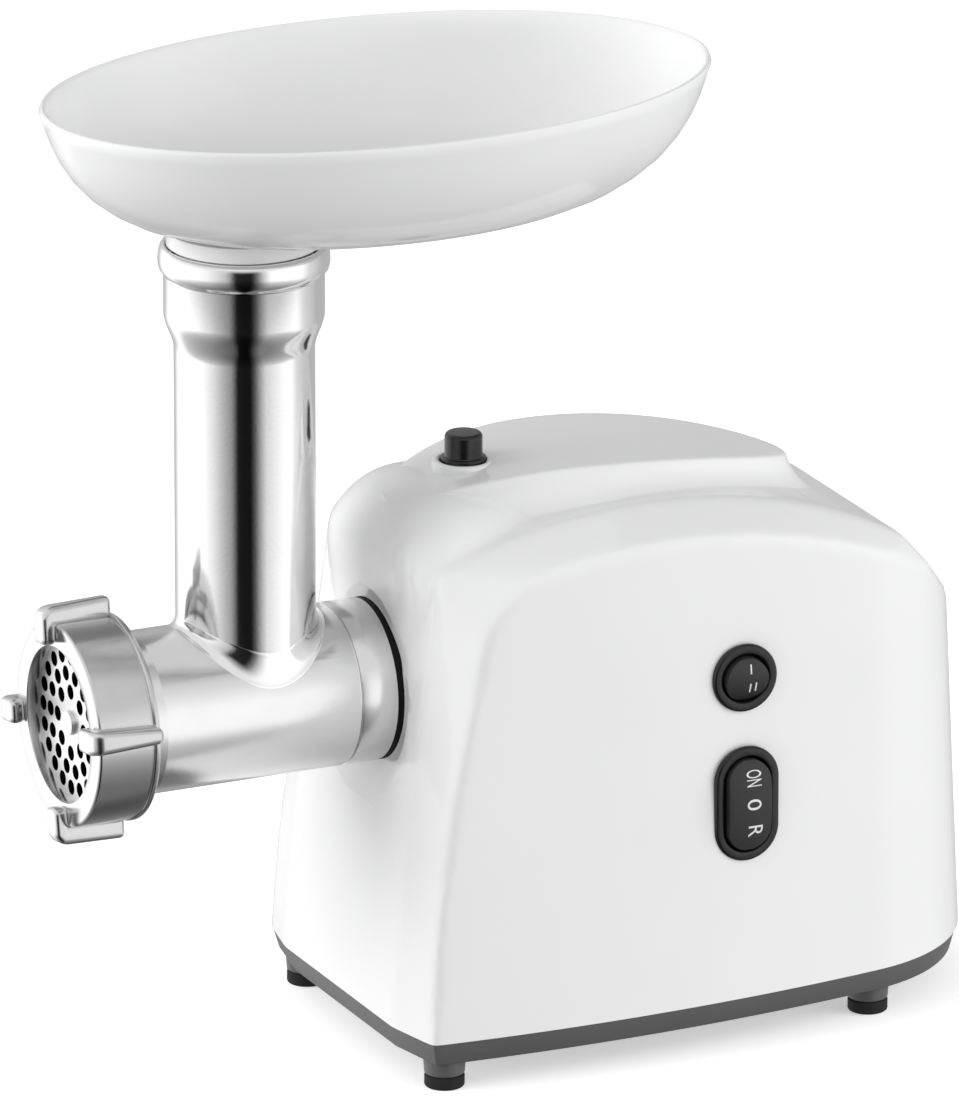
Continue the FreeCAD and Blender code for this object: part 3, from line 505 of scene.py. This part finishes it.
for i in range(1, 13):
    share = i / 12
    out = edge_out + flank_bend * 2 * share * (1 - share) + flank_out * share**2
    crest.append((out, edge_drop, flank_fall * 2 * share * (1 - share) + share**2))
crest += [(11.2, edge_drop, 1.3), (6.0, edge_drop, 1.6), (6.0, 0, 0, closed_level),
          (core, 0, 0, closed_level)]
combined(casing, lofted("spine", [spine_ring(*step) for step in crest], "NOTHING"), "UNION")
seat = lofted("seat", [turned_ring(x, radius) for x, radius in ((-0.4, 29.5), (-9.0, 44.0))])
combined(casing, seat, "DIFFERENCE")
only(casing)
bpy.ops.object.mode_set(mode="EDIT")
bpy.ops.mesh.select_all(action="SELECT")
bpy.ops.mesh.bisect(plane_co=(0, 0, rim_height / 1000), plane_no=(0, 0, 1), clear_inner=True)
bpy.ops.object.mode_set(mode="OBJECT")
wall = casing.modifiers.new("wall", "SOLIDIFY")
wall.thickness = 0.0024
wall.offset = -1.0
bpy.ops.object.modifier_apply(modifier="wall")
speed_low, speed_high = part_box("speed_switch_frame")
button_low, button_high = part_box("release_button")
button_x = (button_low.x + button_high.x) / 2
switch_x = (speed_low.x + speed_high.x) / 2
front_face = mouth / 1000
axis_z = axis_height / 1000
side_face = -0.062
for radius, depth, place, turn, stretch in (
    (0.0267, 0.060, (front_face - 0.014, 0, axis_z), (0, quarter, 0), 0.0),
    (0.0078, 0.060, (button_x, 0, 0.190), (0, 0, 0), 0.0),
    (0.0108, 0.030, (switch_x, side_face, 0.127), (quarter, 0, 0), 0.0),
    (0.0108, 0.030, (switch_x, side_face, 0.0845), (quarter, 0, 0), 0.0081),
    (0.0062, 0.030, (0.1615, 0, 0.034), (0, quarter, 0), 0.0),
):
    combined(casing, drill(radius, depth, place, turn, stretch), "DIFFERENCE")
only(casing)
bpy.ops.object.shade_smooth_by_angle(angle=math.radians(46))
white = Finish("white_gloss_plastic", {"IOR": 1.5, "Coat Roughness": 0.06})
swirl = white.noise(0.05, detail=2.0)
white.surface({
    "Base Color": white.mix(swirl, (0.800, 0.802, 0.806, 1), (0.835, 0.837, 0.840, 1)),
    "Roughness": 0.11 + swirl * 0.05,
    "Coat Weight": 0.18 + swirl * 0.08,
})
white.dress(casing)
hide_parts("upper_casing")
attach(casing, "root")


# Switches: a round speed rocker above an oval power rocker, each snapped into a black
# bezel. The rocker faces are satin so that the printed white marks stay legible.
satin = Finish("rocker_satin_plastic", {"IOR": 1.5})
fine = satin.noise(0.0005, detail=3.0)
satin.surface({
    "Base Color": satin.mix(fine, (0.020, 0.020, 0.021, 1), (0.032, 0.032, 0.033, 1)),
    "Roughness": 0.42 + fine * 0.14,
    "Normal": satin.bump(fine, 0.00006, 0.4),
})
for name, node in (("speed_bezel", "speed_switch_frame"), ("power_bezel", "power_switch_frame")):
    black.dress(softened(name, node, 0.0006))
for name, node in (("speed_rocker_cap", "speed_rocker"), ("power_rocker_cap", "power_rocker")):
    satin.dress(softened(name, node, 0.0005))
ink = Finish("white_ink", {"IOR": 1.45})
worn = ink.noise(0.0015, detail=3.0)
ink.surface({
    "Base Color": ink.mix(worn, (0.72, 0.72, 0.72, 1), (0.82, 0.82, 0.82, 1)),
    "Roughness": 0.4 + worn * 0.2,
})


def printed(name, word, turn, size, target, place, body):
    """A word in white ink laid on a rocker's face: its length and height, and where it sits."""
    bpy.ops.object.select_all(action="DESELECT")
    bpy.ops.object.text_add()
    bpy.context.object.data.body = word
    bpy.context.object.data.resolution_u = 6
    bpy.ops.object.convert(target="MESH")
    word_mesh = bpy.context.object
    word_mesh.name = name
    bpy.ops.object.mode_set(mode="EDIT")
    bpy.ops.mesh.select_all(action="SELECT")
    bpy.ops.mesh.quads_convert_to_tris()
    bpy.ops.mesh.subdivide(number_cuts=5)
    bpy.ops.object.mode_set(mode="OBJECT")
    bpy.ops.object.origin_set(type="ORIGIN_GEOMETRY", center="BOUNDS")
    long, tall = word_mesh.dimensions.x, word_mesh.dimensions.y
    word_mesh.scale = (size[0] / long, size[1] / tall, 1)
    word_mesh.rotation_euler = (quarter, turn, 0)
    word_mesh.location = (place[0], target.bound_box[0][1] - 0.002, place[1])
    bpy.ops.object.transform_apply(location=True, rotation=True, scale=True)
    laid = word_mesh.modifiers.new("laid", "SHRINKWRAP")
    laid.target = target
    laid.wrap_method = "PROJECT"
    laid.use_project_y = True
    laid.use_positive_direction = True
    laid.offset = 0.00008
    bpy.ops.object.modifier_apply(modifier="laid")
    ink.dress(word_mesh)
    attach(word_mesh, body)


speed_face = bpy.data.objects["speed_rocker_cap"]
power_face = bpy.data.objects["power_rocker_cap"]
stroke = (0.0005, 0.0032)
for name, x, z in (("mark_one", 0.0010, 0.1306), ("mark_two_left", 0.0010, 0.1240),
                   ("mark_two_right", 0.0030, 0.1242)):
    printed(name, "I", 0.0, stroke, speed_face, (switch_x + x, z), "speed_rocker_body")
for name, word, size, x, z in (("mark_on", "ON", (0.0054, 0.0053), 0.0012, 0.0939),
                               ("mark_off", "0", (0.0037, 0.0050), 0.0011, 0.0850),
                               ("mark_reverse", "R", (0.0039, 0.0050), 0.0018, 0.0757)):
    printed(name, word, quarter, size, power_face, (switch_x + x, z), "power_rocker_body")


# Release button: a black round cap on a spring, in a white collar on the spine.
# Pressing it frees the head's bayonet.
def round_ring(radius, z, centre_x):
    turns = [2 * math.pi * i / 96 for i in range(96)]
    return [(centre_x + radius * math.cos(t), radius * math.sin(t), z) for t in turns]


black.dress(softened("release_cap", "release_button", 0.0007))
button_place = 33.0
collar_z = arch(button_place)
collar_steps = ((8.0, -3.0), (8.0, 0.6), (8.2, 1.0), (8.6, 1.2), (9.2, 1.2), (9.8, 1.0), (10.2, 0.5),
                (10.4, -0.2), (10.4, -3.0), (8.0, -3.0))
collar = lofted("button_collar", [round_ring(radius, collar_z + rise, mouth + button_place)
                                  for radius, rise in collar_steps], "NOTHING")
bpy.ops.object.shade_smooth_by_angle(angle=math.radians(50))
white.dress(collar)
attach(collar, "root")


# Mouth ring: black bayonet ring in the casing's front, which takes the head's spigot.
# It is moulded in black plastic; its colour is pushed to near-black with weak specular as painted shade for
# the shadowed gap round the barrel, so that it reads as a thin black line.
ring_painted_shade = Finish("mouth_ring_plastic", {"Specular IOR Level": 0.15})
mottle = ring_painted_shade.noise(0.003, detail=3.0)
ring_painted_shade.surface({
    # Near-black colour and weak specular: partly the ring's own black, partly painted shade for the gap
    # between barrel and casing.
    "Base Color": ring_painted_shade.mix(mottle, (0.004, 0.004, 0.004, 1), (0.008, 0.008, 0.008, 1)),
    "Roughness": 0.45 + mottle * 0.1,
})
ring_painted_shade.dress(softened("bayonet_ring", "mouth_ring", 0.0007))


# Head: barrel and feed tube, cast in aluminium. The barrel is left satin, and the tube is
# polished. It flares to a collar and a rolled bead that carries the tray, and a cast
# blend joins its foot to the barrel. The auger runs through the barrel.
alloy = Finish("polished_cast_alloy", {"Metallic": 1.0})
cloud = alloy.noise(0.012, detail=4.0)
rub = alloy.noise(0.0012, detail=4.0, rough=0.6)
alloy.surface({
    "Base Color": alloy.mix(cloud, (0.88, 0.88, 0.88, 1), (0.94, 0.94, 0.945, 1)),
    "Roughness": 0.07 + cloud * 0.04 + rub * 0.04,
    "Normal": alloy.bump(rub, 0.00005, 0.25),
})
cast_satin = Finish("satin_cast_alloy", {"Metallic": 1.0})
bloom = cast_satin.noise(0.012, detail=4.0)
cast_grain = cast_satin.noise(0.0012, detail=4.0, rough=0.6)
cast_satin.surface({
    "Base Color": cast_satin.mix(bloom, (0.78, 0.78, 0.78, 1), (0.86, 0.86, 0.865, 1)),
    "Roughness": 0.15 + bloom * 0.05 + cast_grain * 0.05,
    "Normal": cast_satin.bump(cast_grain, 0.00004, 0.25),
})
auger = softened("auger_screw", "auger", 0.0002, 2)
pin_cut = drill(0.006, 0.004, (front_face - 0.1099, 0, axis_z), (0, quarter, 0))
combined(auger, pin_cut, "DIFFERENCE")
cast_satin.dress(auger)
throat = -44.6
barrel = 26.7
tube_out, tube_in = 22.8, 20.4
tube_foot = 26.4


def tube_ring(radius, rise):
    """A ring of the tube at a height over the barrel's axis, or on the barrel's skin at 0."""
    points = []
    for i in range(160):
        turn = 2 * math.pi * i / 160
        x, y = radius * math.cos(turn), radius * math.sin(turn)
        points.append((mouth + throat + x, y, axis_height + (rise or math.sqrt(tube_foot**2 - y * y))))
    return points


flare_start, flare_length, flare_out = 119.0, 12.0, 3.2
tube_steps = [(tube_out, 0), (tube_out, flare_start)]
for i in range(1, 12):
    share = i / 12
    radius = tube_out + flare_out * share * share * (3 - 2 * share)
    tube_steps.append((radius, flare_start + flare_length * share))
tube_steps += [(26.0, 131.0), (26.0, 144.0), (26.1, 144.5), (26.6, 145.0), (27.3, 145.9), (27.7, 147.2),
               (27.8, 148.8), (27.7, 150.4), (27.45, 151.9), (27.1, 153.0), (26.6, 153.7), (26.0, 154.0),
               (25.4, 153.8), (25.1, 153.2), (25.0, 152.2), (22.95, 150.6), (22.95, 131.0),
               (tube_in, 119.5), (tube_in, 0), (tube_out, 0)]
tube = lofted("spun_tube", [tube_ring(radius, rise) for radius, rise in tube_steps], "NOTHING")
bpy.ops.object.shade_smooth_by_angle(angle=math.radians(50))
alloy.dress(tube)
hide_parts("feed_tube")
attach(tube, "head")
cast_barrel = softened("cast_barrel", "grinder_barrel", 0.0003, 2)
thread_front, thread_back = -92.8, -84.2
relief = lofted("relief", [turned_ring(x, radius) for x, radius in (
    (thread_front, 26.74), (thread_front, 32.0), (thread_back, 32.0), (thread_back, 26.74),
    (thread_front, 26.74))], "NOTHING")
combined(cast_barrel, relief, "DIFFERENCE")
runout = lofted("runout", [turned_ring(x, radius) for x, radius in (
    (-95.0, 25.0), (-95.0, 26.80), (-84.0, 26.80), (-84.0, 25.0), (-95.0, 25.0))], "NOTHING")
only(cast_barrel)
runout.select_set(True)
bpy.ops.object.join()
bpy.ops.object.shade_smooth_by_angle(angle=math.radians(32))
cast_satin.dress(cast_barrel)


def barrel_point(x, along, lift):
    """A place on the barrel's skin: x from the tube's axis and a length around from the top."""
    turn = along / barrel
    out = barrel + lift
    return Vector((mouth + throat + x, out * math.sin(turn), axis_height + out * math.cos(turn)))


def root_rings():
    """The cast blend where the tube grows out of the barrel, wider at its two sides."""
    corner = []
    for i in range(160):
        turn = 2 * math.pi * i / 160
        along = barrel * math.asin(tube_out * math.sin(turn) / barrel)
        corner.append((tube_out * math.cos(turn), along, turn))
    columns = []
    for i, (x, along, turn) in enumerate(corner):
        before, after = corner[i - 1], corner[(i + 1) % 160]
        normal = Vector((after[1] - before[1], before[0] - after[0])).normalized()
        wide = 2.5 + 1.5 * math.sin(turn) ** 2
        rise = 3.0 + 5.0 * math.sin(turn) ** 2
        foot = barrel_point(x + normal.x * wide, along + normal.y * wide, 0.0)
        near = barrel_point(x + normal.x * wide * 0.98, along + normal.y * wide * 0.98, 0.0)
        lean = (near - foot).normalized() * wide * 0.6
        start = barrel_point(x, along, 0.0) + Vector((0, 0, rise))
        arm = start - Vector((0, 0, rise * 0.6))
        curve = []
        for step in range(13):
            t = step / 12
            curve.append(start * (1 - t)**3 + arm * 3 * t * (1 - t)**2 + (foot + lean) * 3 * t * t * (1 - t)
                         + foot * t**3)
        inward = Vector((math.cos(turn), math.sin(turn), 0)) * 1.2
        hidden = barrel_point(x, along, -1.2) - inward
        sunk_top = start - inward * 0.1 + Vector((0, 0, 0.2))
        sunk_foot = barrel_point(x + normal.x * (wide + 0.2), along + normal.y * (wide + 0.2), -0.12)
        columns.append([hidden, sunk_top] + curve + [sunk_foot, hidden])
    return [[tuple(column[i]) for column in columns] for i in range(len(columns[0]))]


root = lofted("tube_root", root_rings(), "NOTHING")
bpy.ops.object.shade_smooth_by_angle(angle=math.radians(60))
alloy.dress(root)
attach(root, "head")


# Ring nut: it screws onto the barrel's thread and holds the plate. It has a thin rim at
# the rear, and four round-edged lugs bent over its front so that it turns by hand.
nut_profile = ((-89.6, 30.0), (-101.5, 30.0), (-101.5, 27.4), (-106.5, 27.4), (-106.5, 25.6),
               (-110.5, 25.6), (-110.85, 25.75), (-111.0, 26.1), (-111.0, 32.4), (-110.85, 33.0),
               (-110.4, 33.4), (-109.8, 33.5), (-92.4, 33.5), (-92.2, 33.2), (-91.8, 33.2), (-91.6, 33.9),
               (-91.2, 34.1), (-90.2, 34.1), (-89.8, 33.9), (-89.6, 33.4), (-89.6, 30.0))
nut = lofted("turned_nut", [turned_ring(x, radius) for x, radius in nut_profile], "NOTHING")
lug_front = -116.0
lug_half, lug_taper = 4.1, 0.055
lug_tilt = 8
lug_outline = ((-110.6, 26.8), (lug_front, 26.8), (lug_front, 36.2), (-113.2, 39.2), (-90.6, 40.0),
               (-90.6, 32.6), (-110.6, 32.6))
for i in range(4):
    tilt = math.radians(90 * i + lug_tilt)
    lug = lofted("lug_%d" % i, [
        [(mouth + x, side * (lug_half - lug_taper * (x - lug_front)), axis_height + radius)
         for x, radius in lug_outline] for side in (-1, 1)])
    rounded(lug, 0.0022, 5, 40.0)
    bpy.ops.object.mode_set(mode="EDIT")
    bpy.ops.mesh.select_all(action="SELECT")
    bpy.ops.transform.rotate(value=tilt, orient_axis="X", center_override=(0, 0, axis_z))
    bpy.ops.object.mode_set(mode="OBJECT")
    combined(nut, lug, "UNION")
only(nut)
bpy.ops.object.shade_smooth_by_angle(angle=math.radians(35))
brushed = Finish("brushed_nut_alloy", {"Metallic": 1.0})
fine_lines = brushed.noise(0.0009, detail=4.0, rough=0.6, stretch=(0.25, 5, 5))
smears = brushed.noise(0.010, detail=3.0)
# Sides facing away from the front get a darker base colour than the front face: painted shade, one alloy in
# a lit and a shaded copy.
endwise_else_painted_shade = brushed.facing((-1, 0, 0))
turned_side_painted_shade = brushed.mix(smears, (0.58, 0.58, 0.585, 1), (0.68, 0.68, 0.685, 1))
brushed.surface({
    "Base Color": brushed.mix(endwise_else_painted_shade, turned_side_painted_shade, (0.93, 0.93, 0.935, 1)),
    "Roughness": 0.15 + fine_lines * 0.08 + smears * 0.04,
    "Normal": brushed.bump(fine_lines, 0.00003, 0.2),
})
brushed.dress(nut)
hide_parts("ring_nut")
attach(nut, "nut")


# Cutting plate and knife: hardened steel, the plate ground flat and drilled in rings. The
# walls of its holes are painted near-black and the knife is painted dark: painted shade, so that the holes
# read black.
blade = Finish("ground_cutting_steel", {"Metallic": 1.0})
lines = blade.noise(0.0012, detail=4.0, stretch=(1, 6, 1))
front_else_painted_shade = blade.facing((-1, 0, 0))
ground_face = blade.mix(lines, (0.92, 0.92, 0.925, 1), (0.98, 0.98, 0.985, 1))
blade.surface({
    # Faces square to the front get the ground steel colour; hole walls and the plate's edge get near-black,
    # painted shade.
    "Base Color": blade.mix(front_else_painted_shade, (0.03, 0.03, 0.03, 1), ground_face),
    "Roughness": 0.32 + lines * 0.10,
})
blade.dress(nodes["cutting_plate"])
shaded_knife_steel = Finish("knife_steel_painted_shade", {"Metallic": 1.0})
scuffs = shaded_knife_steel.noise(0.002, detail=4.0)
# The knife's base colour is kept dark: painted shade for a steel knife lying in shadow behind the plate.
shaded_knife_steel.surface({
    "Base Color": shaded_knife_steel.mix(scuffs, (0.10, 0.10, 0.105, 1), (0.16, 0.16, 0.165, 1)),
    "Roughness": 0.35 + scuffs * 0.15,
})
shaded_knife_steel.dress(nodes["cross_knife"])


# Food tray: a deep oval bowl moulded in the same white, its rim rounded over, with a
# spigot that drops into the feed tube. The floor falls gently to the throat.
def oval_ring(half_long, half_wide, z, centre):
    turns = [2 * math.pi * i / 128 for i in range(128)]
    return [(mouth + centre + half_long * math.cos(t), half_wide * math.sin(t), z) for t in turns]


bowl_middle = throat + 47
bowl_long, bowl_wide = 114, 72
bowl_floor = 283.0
bowl_wall = 2.6


def bowl_rings(inset):
    """Rings of the bowl from its floor's edge to just under the rim, drawn in by the wall."""
    profile = ((0.50, 0.0), (0.60, 0.6), (0.68, 2.2), (0.75, 5.0), (0.81, 8.8), (0.865, 13.5), (0.91, 19.0),
               (0.945, 25.0), (0.972, 31.5), (0.990, 37.5))
    rings = []
    for share, rise in profile:
        z = bowl_floor + rise + inset * (1 - share)
        rings.append(oval_ring(bowl_long * share - inset, bowl_wide * share - inset, z, bowl_middle))
    return rings


spigot_bore = ((20.0, 257.0), (20.0, 283.6), (20.6, 284.8), (22.0, 285.2))
rim = ((111.6, 69.6, 323.6), (112.2, 70.2, 324.7), (112.9, 70.9, 325.0), (113.6, 71.6, 324.7),
       (114.0, 72.0, 323.6))
spigot_skin = ((25.6, 282.4), (25.1, 281.2), (25.1, 277.2), (22.6, 277.1), (22.6, 257.8), (22.0, 257.0),
               (20.0, 257.0))
rings = [oval_ring(radius, radius, z, throat) for radius, z in spigot_bore]
rings += bowl_rings(bowl_wall)
rings += [oval_ring(half_long, half_wide, z, bowl_middle) for half_long, half_wide, z in rim]
rings += bowl_rings(0.0)[::-1]
rings += [oval_ring(radius, radius, z, throat) for radius, z in spigot_skin]
tray = lofted("tray_bowl", rings, "NOTHING")
bpy.ops.object.shade_smooth_by_angle(angle=math.radians(40))
white.dress(tray)
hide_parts("food_tray")
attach(tray, "tray")


# Studio: pale floor, a white surround that is darker towards the camera, and soft boxes to
# the left, right and front. The surround gives the polished metal its bands.
bpy.ops.mesh.primitive_plane_add(size=6.0, location=(0, 0, 0))
floor = bpy.context.object
floor.name = "studio_floor"
pale = Finish("pale_floor", {"Roughness": 0.6, "Specular IOR Level": 0.2, "Emission Color": (1, 1, 1, 1),
                             "Emission Strength": 0.45})
faint = pale.noise(0.2)
pale.surface({"Base Color": pale.mix(faint, (0.90, 0.90, 0.90, 1), (0.92, 0.92, 0.92, 1))})
pale.dress(floor)
floor.visible_glossy = False
floor.visible_diffuse = False

azimuth = math.radians(-25.0)
elevation = math.radians(18.5)
world = bpy.data.worlds.new("white_surround")
bpy.context.scene.world = world
world.use_nodes = True


class Surround(Finish):
    """The world's own node tree, with its background in the shader's place."""

    def __init__(self, kept):
        self.tree = kept.node_tree
        self.shader = self.tree.nodes["Background"]


def grey_stops(*stops):
    return {"stops": [(position, (value, value, value, 1)) for position, value in stops]}


sky = Surround(world)
way = sky.node("ShaderNodeTexCoord", {}, {}, out=0)
toward = (math.sin(azimuth), -math.cos(azimuth), 0)
rightward = (math.cos(azimuth), math.sin(azimuth), 0)
front, right, high = (sky.dot(way, direction) for direction in (toward, rightward, (0, 0, 1)))
around = sky.node("ShaderNodeMath", {"operation": "ARCTAN2"}, {0: right, 1: front}) / (2 * math.pi) + 0.5
walls = sky.node("ShaderNodeValToRGB", grey_stops(
    (0.0, 0.42), (0.07, 0.52), (0.115, 1.0), (0.13, 1.12), (0.18, 1.0), (0.31, 1.0), (0.36, 0.90),
    (0.44, 0.47), (0.470, 0.015), (0.532, 0.008), (0.551, 0.14), (0.60, 0.95), (0.636, 1.0), (0.73, 1.0),
    (0.77, 0.65), (0.856, 0.42), (1.0, 0.42)), {"Fac": around})
ground_low = sky.node("ShaderNodeValToRGB", grey_stops(
    (0.06, 0.18), (0.15, 0.34), (0.231, 0.52), (0.30, 0.95)),
    {"Fac": (high * 0.978 - front * 0.208) * 0.5 + 0.5})
ceiling = sky.node("ShaderNodeValToRGB", grey_stops((0.83, 1.0), (0.95, 0.32)),
                   {"Fac": (high * 0.78 - front * 0.50 + right * 0.36) * 0.5 + 0.5})
level = high * 0.5 + 0.5
over = sky.node("ShaderNodeValToRGB", grey_stops((0.57, 0.0), (0.75, 1.0)), {"Fac": level})
under = sky.node("ShaderNodeValToRGB", grey_stops((0.0, 0.55), (0.47, 1.0)), {"Fac": level})
seen = sky.node("ShaderNodeLightPath", {}, {}, out=0)
mirrored = sky.node("ShaderNodeLightPath", {}, {}, out=3)
reflected = (walls * (1 - over) + over * 0.7) * ground_low * ceiling * 1.22
spread = (0.55 + walls * 0.45) * ceiling * under * 0.94
unseen = reflected * mirrored + spread * (1 - mirrored)
sky.surface({"Color": sky.mix(seen, unseen, (1, 1, 1, 1)), "Strength": 1.0})

machine_middle = Vector((0, 0, 0.15))
for name, spot, size, power in (
    ("left_box", (-1.6, 0.3, 0.8), 1.2, 19.0),
    ("right_box", (1.6, -1.1, 0.7), 1.2, 19.0),
    ("front_box", (-0.4, -2.4, 0.4), 1.4, 3.0),
):
    lamp = bpy.data.lights.new(name, "AREA")
    lamp.size = size
    lamp.energy = power
    box = bpy.data.objects.new(name, lamp)
    box.location = spot
    box.rotation_euler = (machine_middle - Vector(spot)).to_track_quat("-Z", "Y").to_euler()
    box.visible_glossy = False
    bpy.context.scene.collection.objects.link(box)

bpy.context.scene.view_settings.view_transform = "Standard"


# Camera: a long lens from the switch side, a little above the machine. It is aimed by
# lengths across and up the picture from the near foot.
across = Vector((math.cos(azimuth), math.sin(azimuth), 0))
upward = Vector((-math.sin(azimuth) * math.sin(elevation), math.cos(azimuth) * math.sin(elevation),
                 math.cos(elevation)))
back = across.cross(upward)
near_foot = Vector((-0.0445, -0.054, 0))
aim_across, aim_up = 0.01136, 0.17335
aim = near_foot + across * aim_across + upward * aim_up
distance = 5.0
frame_height = 0.3567
lens = bpy.data.cameras.new("long_lens")
lens.lens = lens.sensor_width * distance / frame_height
camera = bpy.data.objects.new("camera", lens)
camera.location = aim + back * distance
camera.rotation_euler = (-back).to_track_quat("-Z", "Y").to_euler()
bpy.context.scene.collection.objects.link(camera)
bpy.context.scene.camera = camera
